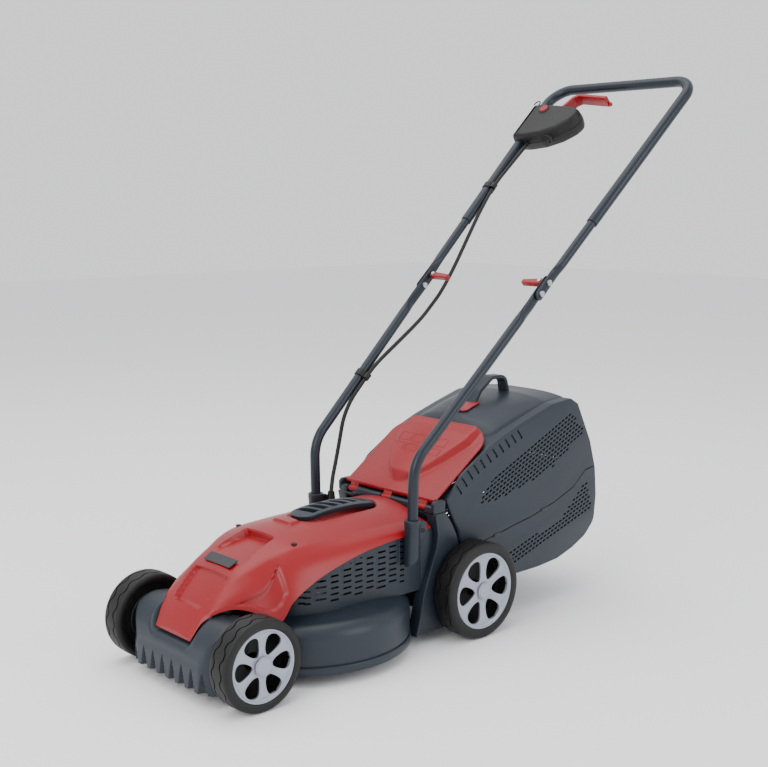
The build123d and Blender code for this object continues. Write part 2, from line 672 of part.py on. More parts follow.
with BuildPart() as box_shell:
    add(box_solid(0))
    chamfer(box_shell.edges().filter_by_position(Axis.X, BODY_X - 1, BODY_X + 1), length=9)
    chamfer(box_shell.edges().filter_by_position(Axis.X, -BODY_X - 1, -BODY_X + 1), length=9)
    with BuildPart(mode=Mode.PRIVATE) as box_space:
        add(box_solid(BOX_T))
        block((-BODY_X - 5, -200, 0), (-BODY_X + 8, 500, 500), mode=Mode.SUBTRACT)
        block((BODY_X - 8, -200, 0), (BODY_X + 5, 500, 500), mode=Mode.SUBTRACT)
    add(box_space.part, mode=Mode.SUBTRACT)
    # mouth: the front wall, and the bay that the flap covers
    side_slab([(-80, 150), (-80, 230), (-70, 232), (46, 325), (46, 300), (10, 260), (10, 150)],
              BODY_X - 8.2, mode=Mode.SUBTRACT)
    with BuildSketch(flap_plane) as bay:
        with BuildLine():
            Polyline((-117.8, -20), (117.8, -20), (117.8, 130), (86, FLAP_LEN + 2),
                     (-86, FLAP_LEN + 2), (-117.8, 130), close=True)
        make_face()
    extrude(amount=12, both=True, mode=Mode.SUBTRACT)
    # loading slot for the fill indicator
    with Locations((0, 106, 350)):
        Box(38, 40, 60, mode=Mode.SUBTRACT)

with BuildPart() as below_seam:
    side_slab(BOX_SEAM, BODY_X + 10)

with BuildPart() as grass_box_lower:
    add(box_shell.part)
    add(below_seam.part, mode=Mode.INTERSECT)
save(grass_box_lower.part, "grass_box_lower")

with BuildPart() as grass_box_upper:
    add(box_shell.part)
    add(below_seam.part, mode=Mode.SUBTRACT)
save(grass_box_upper.part, "grass_box_upper")

with BuildPart() as box_handle:
    with BuildLine() as strap:
        FilletPolyline((0, 136, 363), (0, 138, 404), (0, 170, 424), (0, 206, 422), (0, 214, 386),
                       radius=12)
    with BuildSketch(Plane(origin=strap.line @ 0, x_dir=(1, 0, 0), z_dir=strap.line % 0)):
        RectangleRounded(24, 8, 2.5)
    sweep(path=strap.line)
save(box_handle.part, "box_handle")

with BuildPart() as box_clips:
    for side in (-1, 1):
        for y, z in ((60, 165), (188, 190)):
            block((min(side * BODY_X, side * (BODY_X + 2)), y - 9, z - 8),
                  (max(side * BODY_X, side * (BODY_X + 2)), y + 9, z + 8))
        block((min(side * 80, side * 112), 340, 222), (max(side * 80, side * 112), 352, 262))
    add(box_solid(0), mode=Mode.SUBTRACT)
save(box_clips.part, "box_clips")

with BuildPart() as fill_indicator:
    roof = Plane(origin=(0, 87.5, 348.2), x_dir=(1, 0, 0), z_dir=(0, -0.33, 0.944))
    with BuildSketch(roof) as paddle:
        with Locations((0, 18)):
            RectangleRounded(36, 36, 5)
    extrude(amount=3)
    with BuildSketch(along_x(89, 348, -17)):
        Circle(2.4)
    extrude(amount=34)
save(fill_indicator.part, "fill_indicator")

# ---------------------------------------------------------------- handle, folding half
JOIN_S = 178.0
CORNER_R = 45.0
with BuildPart() as u_bar:
    corner_x = handle_x(HANDLE_LEN)
    with BuildLine() as hoop:
        FilletPolyline(tuple(on_handle(-handle_x(JOIN_S), JOIN_S)),
                       tuple(on_handle(-corner_x, HANDLE_LEN)),
                       tuple(on_handle(corner_x, HANDLE_LEN)),
                       tuple(on_handle(handle_x(JOIN_S), JOIN_S)), radius=CORNER_R)
    with BuildSketch(Plane(origin=hoop.line @ 0, z_dir=hoop.line % 0)):
        Circle(BAR_R)
        Circle(MID_TUBE_R + 0.02, mode=Mode.SUBTRACT)
    sweep(path=hoop.line)
save(u_bar.part, "u_bar")

with BuildPart() as mid_tubes:
    for side in (-1, 1):
        low_end = on_handle(side * handle_x(32), 32)
        high_end = on_handle(side * handle_x(JOIN_S + 30), JOIN_S + 30)
        run = high_end - low_end
        with BuildSketch(Plane(origin=low_end, z_dir=run)) as ring:
            Circle(MID_TUBE_R)
            Circle(MID_TUBE_R - TUBE_WALL, mode=Mode.SUBTRACT)
        extrude(ring.sketch, amount=run.length)
        tongue(side * UPPER_X, -13, 48, (0, LOCK_S))
        if side < 0:
            block((-LOWER_X - TONGUE_T / 2 - 0.4, 0, 500), (-100, 300, 640), mode=Mode.SUBTRACT)
        else:
            block((100, 0, 500), (LOWER_X + TONGUE_T / 2 + 0.4, 300, 640), mode=Mode.SUBTRACT)
save(mid_tubes.part, "mid_tubes")

with BuildPart() as pivot_bolts:
    for side in (-1, 1):
        # the fold bolt and, above it, the clamp bolt that the lever pulls
        for s, shank in ((0, 15.0), (LOCK_S, UPPER_X + TONGUE_T / 2 - LEVER_X)):
            outer = UPPER_X + TONGUE_T / 2
            with BuildSketch(Plane(origin=on_handle(side * outer, s), z_dir=(side, 0, 0))) as head:
                Circle(5.5)
            extrude(head.sketch, amount=3)
            with BuildSketch(Plane(origin=on_handle(side * outer, s), z_dir=(side, 0, 0))) as pin:
                Circle(3.0)
            extrude(pin.sketch, amount=-shank)
        with BuildSketch(handle_plane(LOCK_S, -7)) as cross_pin:
            with Locations((side * LEVER_X, 0)):
                Circle(3.5)
        extrude(cross_pin.sketch, amount=14)
        inner = LOWER_X - TONGUE_T / 2 - 0.3
        with BuildSketch(Plane(origin=on_handle(side * inner, 0), z_dir=(-side, 0, 0))) as nut:
            RegularPolygon(radius=5.8, side_count=6)
            Circle(3.0, mode=Mode.SUBTRACT)
        extrude(nut.sketch, amount=4)
save(pivot_bolts.part, "pivot_bolts")

for hand, side in (("right", -1), ("left", 1)):
    with BuildPart() as lever:
        # cam eye round the cross pin, then a thumb blade pointing inwards
        with BuildSketch(handle_plane(LOCK_S, -5.5)) as eye:
            with Locations((side * LEVER_X, 0)):
                Circle(7.0)
        extrude(eye.sketch, amount=11)
        with BuildSketch(handle_plane(LOCK_S, -4.5)) as blade:
            with BuildLine():
                Polyline((side * LEVER_X, -5), (side * (LEVER_X - 40), -7),
                         (side * (LEVER_X - 40), 0), (side * (LEVER_X - 16), 3),
                         (side * LEVER_X, 6), close=True)
            make_face()
        extrude(blade.sketch, amount=9)
        with BuildSketch(handle_plane(LOCK_S, -12)) as bore:
            with Locations((side * LEVER_X, 0)):
                Circle(3.55)
        extrude(bore.sketch, amount=24, mode=Mode.SUBTRACT)
        # channel that passes the clamp bolt as the lever swings
        with BuildSketch(handle_plane(LOCK_S, -3.3)) as channel:
            with BuildLine():
                swing = [(side * (LEVER_X + 12 * math.cos(math.radians(a))),
                          12 * math.sin(math.radians(a))) for a in (-60, -30, 0, 30, 60, 90, 115, 140)]
                Polyline((side * LEVER_X, 0), *swing, close=True)
            make_face()
        extrude(channel.sketch, amount=6.6, mode=Mode.SUBTRACT)
    save(lever.part, hand + "_clamp_lever")

# ---------------------------------------------------------------- switch box
BOX_S0 = HANDLE_LEN - 165.0
BOX_S1 = HANDLE_LEN - 62.0
BOX_OUT_X = -184.0
BOX_HALF = 23.0


def switch_outline(shrink):
    """The D shape of the switch box in the handle's plane."""
    with BuildSketch(handle_plane()) as made:
        with BuildLine():
            a = (BOX_OUT_X, BOX_S0 - 4)
            b = (-136, BOX_S0 + 1)
            c = (-44, BOX_S1 - 40)
            d = (-70, BOX_S1 - 14)
            e = (BOX_OUT_X + 6, BOX_S1)
            Line(a, b)
            ThreePointArc(b, (-76, BOX_S0 + 26), c)
            ThreePointArc(c, (-52, BOX_S1 - 22), d)
            Line(d, e)
            Line(e, a)
        make_face()
        if shrink:
            offset(amount=-shrink)
    return made.sketch


BUTTON_X = -141.0
BUTTON_S = HANDLE_LEN - 86.0
BAIL_X = -112.0
BAIL_S = HANDLE_LEN - 92.0
for name, low, high in (("switch_box_top", 0.0, BOX_HALF), ("switch_box_base", -BOX_HALF, 0.0)):
    with BuildPart() as half_case:
        extrude(switch_outline(0), amount=high, dir=HANDLE_N) if high else None
        extrude(switch_outline(0), amount=-low, dir=-HANDLE_N) if low else None
        inside = 2.5
        if high:
            extrude(switch_outline(2.5), amount=high - inside, dir=HANDLE_N, mode=Mode.SUBTRACT)
        else:
            extrude(switch_outline(2.5), amount=-low - inside, dir=-HANDLE_N, mode=Mode.SUBTRACT)
        # the tube's tunnel
        tube_dir = on_handle(-handle_x(500), 500) - on_handle(-handle_x(300), 300)
        with BuildSketch(Plane(origin=on_handle(-handle_x(300), 300), z_dir=tube_dir)) as tunnel:
            Circle(BAR_R + 0.02)
        extrude(tunnel.sketch, amount=300, mode=Mode.SUBTRACT)
        # lever gate in the upper edge and button well in the top face
        with BuildSketch(handle_plane(0, -11)) as gate:
            with Locations((-92, BOX_S1 - 6)):
                Rectangle(44, 60)
        extrude(gate.sketch, amount=27, mode=Mode.SUBTRACT)
        with BuildSketch(handle_plane(0, 0)) as well:
            with Locations((BUTTON_X, BUTTON_S)):
                Circle(10.3)
        extrude(well.sketch, amount=40, mode=Mode.SUBTRACT)
        # the lever turns on a moulded pin of the base that reaches into a boss of the top
        with BuildSketch(handle_plane(0, low if low else 17)) as boss:
            with Locations((BAIL_X, BAIL_S)):
                Circle(6)
                if high:
                    Circle(3.1, mode=Mode.SUBTRACT)
        extrude(boss.sketch, amount=11.5 if low else BOX_HALF - 17)
        if low:
            with BuildSketch(handle_plane(0, low)) as pin:
                with Locations((BAIL_X, BAIL_S)):
                    Circle(3.0)
            extrude(pin.sketch, amount=42)
        # cable and mains inlet holes in the lower edge
        with BuildSketch(Plane(origin=on_handle(-146, BOX_S0 - 30, 0),
                               z_dir=(0, COS_H, SIN_H))) as port:
            Circle(CABLE_R + 0.05)
        extrude(port.sketch, amount=45, mode=Mode.SUBTRACT)
        with BuildSketch(Plane(origin=on_handle(-100, BOX_S0 - 30, 0),
                               z_dir=(0, COS_H, SIN_H))) as socket_port:
            Circle(12.5)
        extrude(socket_port.sketch, amount=75, mode=Mode.SUBTRACT)
    save(half_case.part, name)

with BuildPart() as mains_inlet:
    with BuildSketch(Plane(origin=on_handle(-100, BOX_S0 + 8, 0), z_dir=(0, COS_H, SIN_H))):
        Circle(12.4)
    extrude(amount=30)
    with BuildSketch(Plane(origin=on_handle(-100, BOX_S0 + 8, 0), z_dir=(0, COS_H, SIN_H))):
        Circle(9.5)
    extrude(amount=22, mode=Mode.SUBTRACT)
    for x in (-103.5, -96.5):
        with BuildSketch(Plane(origin=on_handle(x, BOX_S0 + 14, 0), z_dir=(0, COS_H, SIN_H))):
            Circle(1.5)
        extrude(amount=20)
save(mains_inlet.part, "mains_inlet")

with BuildPart() as micro_switch:
    with BuildSketch(handle_plane(0, -20)):
        with Locations((-146, BUTTON_S - 22)):
            Rectangle(24, 16)
    extrude(amount=12)
save(micro_switch.part, "micro_switch")

with BuildPart() as safety_button:
    with BuildSketch(handle_plane(0, BOX_HALF - 12)):
        with Locations((BUTTON_X, BUTTON_S)):
            Circle(10.0)
    extrude(amount=16)
    outward = Axis((0, 0, 0), HANDLE_N)
    fillet(safety_button.edges().filter_by(GeomType.CIRCLE).sort_by(outward)[-1], radius=1.5)
save(safety_button.part, "safety_button")

with BuildPart() as bail_lever:
    with BuildSketch(handle_plane(0, -11)) as hub:
        with Locations((BAIL_X, BAIL_S)):
            Circle(8)
    extrude(amount=27)
    with BuildSketch(handle_plane(0, -8)) as arm:
        with BuildLine():
            Polyline((BAIL_X - 5, BAIL_S + 3), (-96, HANDLE_LEN - 38), (-84, HANDLE_LEN - 32),
                     (-4, HANDLE_LEN - 46), (-4, HANDLE_LEN - 51), (-80, HANDLE_LEN - 37),
                     (-88, HANDLE_LEN - 46), (BAIL_X + 6, BAIL_S - 4), close=True)
        make_face()
    extrude(amount=24)
    with BuildSketch(handle_plane(0, -8)) as tip:
        with Locations((-1, HANDLE_LEN - 51)):
            Circle(4.5)
    extrude(amount=8)
    with BuildSketch(handle_plane(0, -12)):
        with Locations((BAIL_X, BAIL_S)):
            Circle(3.05)
    extrude(amount=40, mode=Mode.SUBTRACT)
save(bail_lever.part, "bail_lever")

# ---------------------------------------------------------------- power cable
# held by two clips, from the cover to the fold, and from the fold to the switch box
GLAND = (-109, -131, 230)
LOWER_ROUTE = [GLAND, (-117, -122, 250), (-122, -109, 280), (-123.5, -98, 320),
               (-123.5, -89, 360), (-123, -70, 393), (-124, -38, 424), (-123.5, -10, 452),
               (-127.5, 49, 487), (-132, 116, 528), (-134.4, 149.6, 556.2)]
UPPER_ROUTE = [(-134.42, 149.83, 556.39), (-136, 172, 575), (-140, 212, 621),
               (-143, 257, 685), (-146, 294, 736), (-149, 338, 787), (-148, 375, 820),
               (-146.5, 404, 846), tuple(on_handle(-146, BOX_S0 + 1, 0))]


def arc_radii(points):
    """The largest bend at each corner: 0.45 of the shorter run over tan(half the turn)."""
    radii = []
    for before, here, after in zip(points, points[1:], points[2:]):
        incoming = Vector(*here) - Vector(*before)
        outgoing = Vector(*after) - Vector(*here)
        turn = math.radians(incoming.get_angle(outgoing))
        radii.append(0.45 * min(incoming.length, outgoing.length) / math.tan(turn / 2))
    return radii


for name, points in (("cable_lower", LOWER_ROUTE), ("cable_upper", UPPER_ROUTE)):
    radii = arc_radii(points)
    print(name, "radii", [round(r) for r in radii])
    with BuildPart() as cable:
        with BuildLine() as path:
            FilletPolyline(*points, radius=radii)
        with BuildSketch(Plane(origin=path.line @ 0, z_dir=path.line % 0)):
            Circle(CABLE_R)
        sweep(path=path.line)
    length = sum(edge.length for edge in path.line.edges())
    print(name, "length", round(length), "volume / (section x length)",
          round(cable.part.volume / (math.pi * CABLE_R ** 2 * length), 4))
    save(cable.part, name)

with BuildPart() as cable_gland:
    with Locations((GLAND[0], GLAND[1], 208)):
        Cylinder(7.8, 13)
    with Locations((GLAND[0], GLAND[1], 226)):
        Cone(bottom_radius=7.8, top_radius=5.2, height=24)
    entry = Vector(*LOWER_ROUTE[1]) - Vector(*LOWER_ROUTE[0])
    gland_top = Plane(origin=LOWER_ROUTE[0], z_dir=entry)
    with BuildSketch(gland_top):
        Circle(12)
    extrude(amount=30, mode=Mode.SUBTRACT)
save(cable_gland.part, "cable_gland")


def clip(tube_point, tube_dir, tube_radius, cable_point):
    """A moulded band round the tube with a smaller eye round the cable."""
    plane = Plane(origin=tube_point - tube_dir.normalized() * 6, z_dir=tube_dir)
    eye_at = plane.to_local_coords(cable_point)
    with BuildSketch(plane) as band:
        Circle(tube_radius + 2.2)
        with Locations((eye_at.X, eye_at.Y)):
            Circle(CABLE_R + 2.8)
        Circle(tube_radius + 0.02, mode=Mode.SUBTRACT)
        with Locations((eye_at.X, eye_at.Y)):
            Circle(CABLE_R + 1.2, mode=Mode.SUBTRACT)
    extrude(band.sketch, amount=12)


with BuildPart() as lower_cable_clip:
    low_s = -232.0
    tube_mid = on_handle(-(LOWER_X + 0.047 * (low_s + 24)), low_s)
    clip(tube_mid, Vector(0, COS_H, SIN_H), LOWER_TUBE_R, Vector(-123.9, -33, 429))
save(lower_cable_clip.part, "lower_cable_clip")

with BuildPart() as upper_cable_clip:
    high_s = HANDLE_LEN - 300.0
    tube_mid = on_handle(-handle_x(high_s), high_s)
    clip(tube_mid, tube_dir, BAR_R, Vector(-148.9, 336, 785))
save(upper_cable_clip.part, "upper_cable_clip")
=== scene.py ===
# %% [markdown]
# # A corded rotary lawn mower
# The CAD model gives every piece its place and its joints. This scene loads it as the frame and
# then builds the moulded parts again as finer meshes: ribbed, slotted and rounded.
# Lengths in the builders are millimetres; `place` turns them into metres.

# %% Load the CAD frame
import bmesh
import bpy
import json
import math
import numpy as np
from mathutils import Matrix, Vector


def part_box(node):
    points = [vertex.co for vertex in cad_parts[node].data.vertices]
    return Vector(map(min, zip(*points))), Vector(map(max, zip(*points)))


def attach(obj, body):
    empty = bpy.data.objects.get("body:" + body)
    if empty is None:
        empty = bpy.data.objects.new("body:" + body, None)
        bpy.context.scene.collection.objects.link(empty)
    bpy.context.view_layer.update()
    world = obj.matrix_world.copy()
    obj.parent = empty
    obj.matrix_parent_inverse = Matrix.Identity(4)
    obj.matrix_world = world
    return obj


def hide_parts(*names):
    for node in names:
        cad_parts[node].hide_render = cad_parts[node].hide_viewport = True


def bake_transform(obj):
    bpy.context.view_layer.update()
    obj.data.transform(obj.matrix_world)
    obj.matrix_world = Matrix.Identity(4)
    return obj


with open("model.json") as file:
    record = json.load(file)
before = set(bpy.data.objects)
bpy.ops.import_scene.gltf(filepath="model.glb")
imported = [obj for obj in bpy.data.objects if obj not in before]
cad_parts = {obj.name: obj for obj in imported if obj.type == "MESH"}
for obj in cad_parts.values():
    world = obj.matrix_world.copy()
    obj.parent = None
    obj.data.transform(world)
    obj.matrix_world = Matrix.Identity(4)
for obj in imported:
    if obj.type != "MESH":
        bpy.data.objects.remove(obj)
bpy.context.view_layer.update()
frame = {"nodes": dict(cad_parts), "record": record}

# %% [markdown]
# ## Materials
# One node group makes the fine surface of every moulded or painted piece: a spark-eroded grain
# as a normal, a slow change of tone and a slow change of roughness. Each material sets its own
# colour and feeds those outputs to its own Principled shader.

# %% Surface group
BUMP_HEIGHT = 0.0004
CLOUD_SCALE = 9.0
ROUGHNESS_SPREAD = 0.22
group = bpy.data.node_groups.new("Fine Surface", "ShaderNodeTree")
for socket, kind, value in (("Color", "NodeSocketColor", (0.5, 0.5, 0.5, 1)),
                            ("Tone", "NodeSocketFloat", 0.12),
                            ("Roughness", "NodeSocketFloat", 0.45),
                            ("Grain Scale", "NodeSocketFloat", 1400.0),
                            ("Grain Depth", "NodeSocketFloat", 0.15)):
    made = group.interface.new_socket(socket, in_out="INPUT", socket_type=kind)
    made.default_value = value
group.interface.new_socket("Color", in_out="OUTPUT", socket_type="NodeSocketColor")
group.interface.new_socket("Roughness", in_out="OUTPUT", socket_type="NodeSocketFloat")
group.interface.new_socket("Normal", in_out="OUTPUT", socket_type="NodeSocketVector")


def add_node(tree, kind, **inputs):
    """A node with some input values set by name."""
    node = tree.nodes.new(kind)
    for name, value in inputs.items():
        node.inputs[name.replace("_", " ")].default_value = value
    return node


def fill_group(tree):
    """The wiring of the surface group."""
    link = tree.links.new
    given = tree.nodes.new("NodeGroupInput")
    result = tree.nodes.new("NodeGroupOutput")
    coords = tree.nodes.new("ShaderNodeTexCoord")
    grain = add_node(tree, "ShaderNodeTexNoise", Detail=3.0, Roughness=0.6)
    link(coords.outputs["Object"], grain.inputs["Vector"])
    link(given.outputs["Grain Scale"], grain.inputs["Scale"])
    bump = add_node(tree, "ShaderNodeBump", Distance=BUMP_HEIGHT)
    link(grain.outputs["Fac"], bump.inputs["Height"])
    link(given.outputs["Grain Depth"], bump.inputs["Strength"])
    link(bump.outputs["Normal"], result.inputs["Normal"])
    cloud = add_node(tree, "ShaderNodeTexNoise", Scale=CLOUD_SCALE, Detail=5.0, Roughness=0.62)
    link(coords.outputs["Object"], cloud.inputs["Vector"])
    centred = tree.nodes.new("ShaderNodeMath")
    centred.operation = "SUBTRACT"
    centred.inputs[1].default_value = 0.5
    link(cloud.outputs["Fac"], centred.inputs[0])
    toned = tree.nodes.new("ShaderNodeMath")
    toned.operation = "MULTIPLY_ADD"
    toned.inputs[2].default_value = 1.0
    link(centred.outputs[0], toned.inputs[0])
    link(given.outputs["Tone"], toned.inputs[1])
    colour = tree.nodes.new("ShaderNodeVectorMath")
    colour.operation = "SCALE"
    link(given.outputs["Color"], colour.inputs[0])
    link(toned.outputs[0], colour.inputs["Scale"])
    link(colour.outputs["Vector"], result.inputs["Color"])
    rough = tree.nodes.new("ShaderNodeMath")
    rough.operation = "MULTIPLY_ADD"
    rough.inputs[1].default_value = ROUGHNESS_SPREAD
    link(centred.outputs[0], rough.inputs[0])
    link(given.outputs["Roughness"], rough.inputs[2])
    link(rough.outputs[0], result.inputs["Roughness"])


fill_group(group)
print("surface group:", len(group.nodes), "nodes")

# %% Materials
COAT_ROUGHNESS = 0.25
SPECULAR_LEVEL = 0.36
FINISHES = {
    # name: colour, roughness, metallic, coat, grain scale, grain depth, tone
    "slate": ((0.0125, 0.0185, 0.027), 0.40, 0.0, 0.0, 1500, 0.16, 0.16),
    "red": ((0.24, 0.0012, 0.0045), 0.36, 0.0, 0.12, 1700, 0.07, 0.10),
    "black": ((0.0035, 0.0035, 0.0035), 0.46, 0.0, 0.0, 1500, 0.20, 0.20),
    "badge": ((0.012, 0.012, 0.014), 0.28, 0.0, 0.2, 1700, 0.05, 0.25),
    "tyre": ((0.003, 0.003, 0.003), 0.55, 0.0, 0.0, 900, 0.30, 0.30),
    "silver": ((0.30, 0.32, 0.38), 0.36, 0.25, 0.1, 2200, 0.05, 0.08),
    "tube": ((0.0075, 0.0125, 0.021), 0.34, 0.15, 0.1, 2400, 0.12, 0.12),
    "steel": ((0.55, 0.56, 0.58), 0.30, 1.0, 0.0, 1800, 0.10, 0.15),
    "zinc": ((0.50, 0.51, 0.53), 0.38, 1.0, 0.0, 700, 0.10, 0.30),
    "spring": ((0.30, 0.30, 0.32), 0.34, 1.0, 0.0, 1800, 0.10, 0.20),
    "ferrite": ((0.035, 0.034, 0.036), 0.70, 0.0, 0.0, 800, 0.30, 0.30),
    "copper": ((0.72, 0.36, 0.20), 0.30, 1.0, 0.0, 1500, 0.10, 0.25),
    "cable": ((0.003, 0.003, 0.0032), 0.48, 0.0, 0.0, 1300, 0.15, 0.20),
}


def make_material(name):
    """A Principled material fed by the surface group."""
    colour, roughness, metallic, coat, scale, depth, tone = FINISHES[name]
    material = bpy.data.materials.new(name)
    material.use_nodes = True
    tree = material.node_tree
    shader = tree.nodes["Principled BSDF"]
    shader.inputs["Metallic"].default_value = metallic
    shader.inputs["Coat Weight"].default_value = coat
    shader.inputs["Coat Roughness"].default_value = COAT_ROUGHNESS
    shader.inputs["Specular IOR Level"].default_value = SPECULAR_LEVEL
    surface = tree.nodes.new("ShaderNodeGroup")
    surface.node_tree = group
    surface.inputs["Color"].default_value = (*colour, 1)
    surface.inputs["Tone"].default_value = tone
    surface.inputs["Roughness"].default_value = roughness
    surface.inputs["Grain Scale"].default_value = scale
    surface.inputs["Grain Depth"].default_value = depth
    tree.links.new(surface.outputs["Color"], shader.inputs["Base Color"])
    tree.links.new(surface.outputs["Roughness"], shader.inputs["Roughness"])
    tree.links.new(surface.outputs["Normal"], shader.inputs["Normal"])
    return material


MATERIALS = {name: make_material(name) for name in FINISHES}
print("materials:", ", ".join(MATERIALS))

# %% Materials of the CAD pieces
SLOT_LOOK = {"deck_plastic": "slate", "red_plastic": "red", "black_plastic": "black",
             "box_plastic": "slate", "tyre": "tyre", "silver": "silver", "tube": "tube",
             "steel": "steel", "zinc": "zinc", "spring_steel": "spring", "ferrite": "ferrite",
             "copper": "copper", "cable": "cable", "grommet": "black"}
for entry in frame["record"]["subparts"]:
    node = frame["nodes"][entry["node"]]
    node.data.materials.clear()
    node.data.materials.append(MATERIALS[SLOT_LOOK[entry["material_slot"]]])
frame["nodes"]["badge_plate"].data.materials[0] = MATERIALS["badge"]
frame["nodes"]["body_screws"].data.materials[0] = MATERIALS["black"]

# %% [markdown]
# ## Mesh builders
# `grid` joins rows of points into a surface, `slab` extrudes an outline with rounded rims,
# `revolve` turns a profile about a wheel axis and `sweep` carries a section along a path.

# %% Objects and shading
MM = 0.001


def sharpen(mesh, angle):
    """Smooth shading, with a hard edge where faces meet at more than the angle."""
    mesh.polygons.foreach_set("use_smooth", [True] * len(mesh.polygons))
    mesh.set_sharp_from_angle(angle=math.radians(angle))
    mesh.update()


def place(name, verts, faces, body, look, steps=(), angle=32, slot=None):
    """A mesh object from points in millimetres, shaped by modifiers and put on a body."""
    name = name.lower().replace(" ", "_")
    mesh = bpy.data.meshes.new(name)
    mesh.from_pydata([tuple(c * MM for c in v) for v in verts], [], faces)
    cleaned = bmesh.new()
    cleaned.from_mesh(mesh)
    bmesh.ops.remove_doubles(cleaned, verts=cleaned.verts, dist=2e-6)
    bmesh.ops.dissolve_degenerate(cleaned, edges=cleaned.edges, dist=1e-6)
    bmesh.ops.recalc_face_normals(cleaned, faces=cleaned.faces)
    cleaned.to_mesh(mesh)
    cleaned.free()
    mesh.materials.append(MATERIALS[look])
    obj = bpy.data.objects.new(name, mesh)
    bpy.context.scene.collection.objects.link(obj)
    if steps:
        reshape(obj, steps)
    sharpen(obj.data, angle)
    if body:
        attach(obj, body)
    return obj


def reshape(obj, steps):
    """Adds modifiers, then keeps their result as the object's own mesh."""
    for kind, settings in steps:
        modifier = obj.modifiers.new(kind.title(), kind)
        for key, value in settings.items():
            setattr(modifier, key, value)
    bpy.context.view_layer.update()
    done = obj.evaluated_get(bpy.context.evaluated_depsgraph_get())
    mesh = bpy.data.meshes.new_from_object(done)
    obj.modifiers.clear()
    obj.data = mesh


def thick(amount, offset=-1.0):
    """A solidify step in millimetres; it grows inwards, or both ways with an offset of 0."""
    return ("SOLIDIFY", {"thickness": amount * MM, "offset": offset,
                         "use_even_offset": False})


def rim(width, segments=2, angle=40):
    """A bevel step on sharp edges, in millimetres."""
    return ("BEVEL", {"width": width * MM, "segments": segments, "limit_method": "ANGLE",
                      "angle_limit": math.radians(angle), "harden_normals": False})


# %% Grids, outlines and slabs
def grid(rows, wrap=False, skip=None):
    """Points and quads of a surface through rows of points; skip(i, j) leaves cells open."""
    count = len(rows[0])
    verts = [tuple(point) for row in rows for point in row]
    faces = []
    for i in range(len(rows) - 1):
        for j in range(count if wrap else count - 1):
            if skip and skip(i, j):
                continue
            k = (j + 1) % count
            faces.append((i * count + j, i * count + k,
                          (i + 1) * count + k, (i + 1) * count + j))
    return verts, faces


def end_caps(verts, count):
    """Faces over the first and the last ring of count points."""
    return [tuple(range(count))[::-1], tuple(range(len(verts) - count, len(verts)))]


def join(*meshes):
    """Several (verts, faces) pairs as one."""
    verts, faces = [], []
    for more_verts, more_faces in meshes:
        start = len(verts)
        verts += list(more_verts)
        faces += [tuple(i + start for i in face) for face in more_faces]
    return verts, faces


def rounded(points, radius, steps=5):
    """A closed outline with every corner turned into an arc; radius may be a list."""
    out = []
    count = len(points)
    radii = radius if isinstance(radius, (list, tuple)) else [radius] * count
    for i, here in enumerate(points):
        here = np.array(here, float)
        before = np.array(points[i - 1], float) - here
        after = np.array(points[(i + 1) % count], float) - here
        a, b = np.linalg.norm(before), np.linalg.norm(after)
        before, after = before / a, after / b
        half = math.acos(max(-1.0, min(1.0, float(before @ after)))) / 2
        reach = min(radii[i] / max(math.tan(half), 1e-4), 0.48 * a, 0.48 * b)
        if reach < 0.05 or half > 1.55:
            out.append(tuple(here))
            continue
        for k in range(steps + 1):
            t = k / steps
            start, end = here + before * reach, here + after * reach
            out.append(tuple((1 - t) ** 2 * start + 2 * t * (1 - t) * here + t * t * end))
    return out


def inset(outline, amount):
    """The outline moved inwards, for a counter-clockwise outline."""
    points = np.array(outline, float)
    ahead = np.roll(points, -1, axis=0) - points
    ahead /= np.maximum(np.linalg.norm(ahead, axis=1, keepdims=True), 1e-9)
    behind = np.roll(ahead, 1, axis=0)
    normal = np.stack([-(ahead[:, 1] + behind[:, 1]), ahead[:, 0] + behind[:, 0]], axis=1)
    scale = np.maximum(1 + np.sum(ahead * behind, axis=1, keepdims=True), 0.35)
    return points + normal / scale * amount


def area(outline):
    """Signed area of an outline."""
    p = np.array(outline, float)
    q = np.roll(p, -1, axis=0)
    return float(np.sum(p[:, 0] * q[:, 1] - q[:, 0] * p[:, 1]) / 2)


def slab(outline, low, high, to_space, soft=1.5, steps=3, rings=None):
    """An outline extruded from low to high with rounded rims; rings may set its own profile."""
    if area(outline) < 0:
        outline = outline[::-1]
    if rings is None:
        rings = []
        for k in range(steps + 1):
            angle = math.pi / 2 * k / steps
            rings.append((low + soft * (1 - math.sin(angle)), soft * (1 - math.cos(angle))))
        rings = rings[::-1]
        rings += [(low + high - h, amount) for h, amount in rings[::-1]]
    rows = []
    for height, amount in rings:
        rows.append([to_space(a, b, height) for a, b in inset(outline, amount)])
    verts, faces = grid(rows, wrap=True)
    return verts, faces + end_caps(verts, len(outline))


def on_side(y, z, x):
    """Slab mapping for outlines drawn in (y, z), extruded along x."""
    return (x, y, z)


def on_plan(x, y, z):
    """Slab mapping for outlines drawn in (x, y), extruded upwards."""
    return (x, y, z)


def side_span(side, inner, outer):
    """The low and high x of a plate that lies between two distances on one side."""
    return sorted((side * inner, side * outer))


def ribbon(line, width):
    """The closed outline of an open line given a width on its left-hand side."""
    p = np.array(line, float)
    d = np.gradient(p, axis=0)
    d /= np.linalg.norm(d, axis=1, keepdims=True)
    other = p + np.stack([-d[:, 1], d[:, 0]], axis=1) * width
    return [tuple(a) for a in p] + [tuple(a) for a in other[::-1]]


def smooth_step(value, start, end):
    """0 before start, 1 after end, smooth between."""
    t = np.clip((value - start) / (end - start), 0, 1)
    return t * t * (3 - 2 * t)


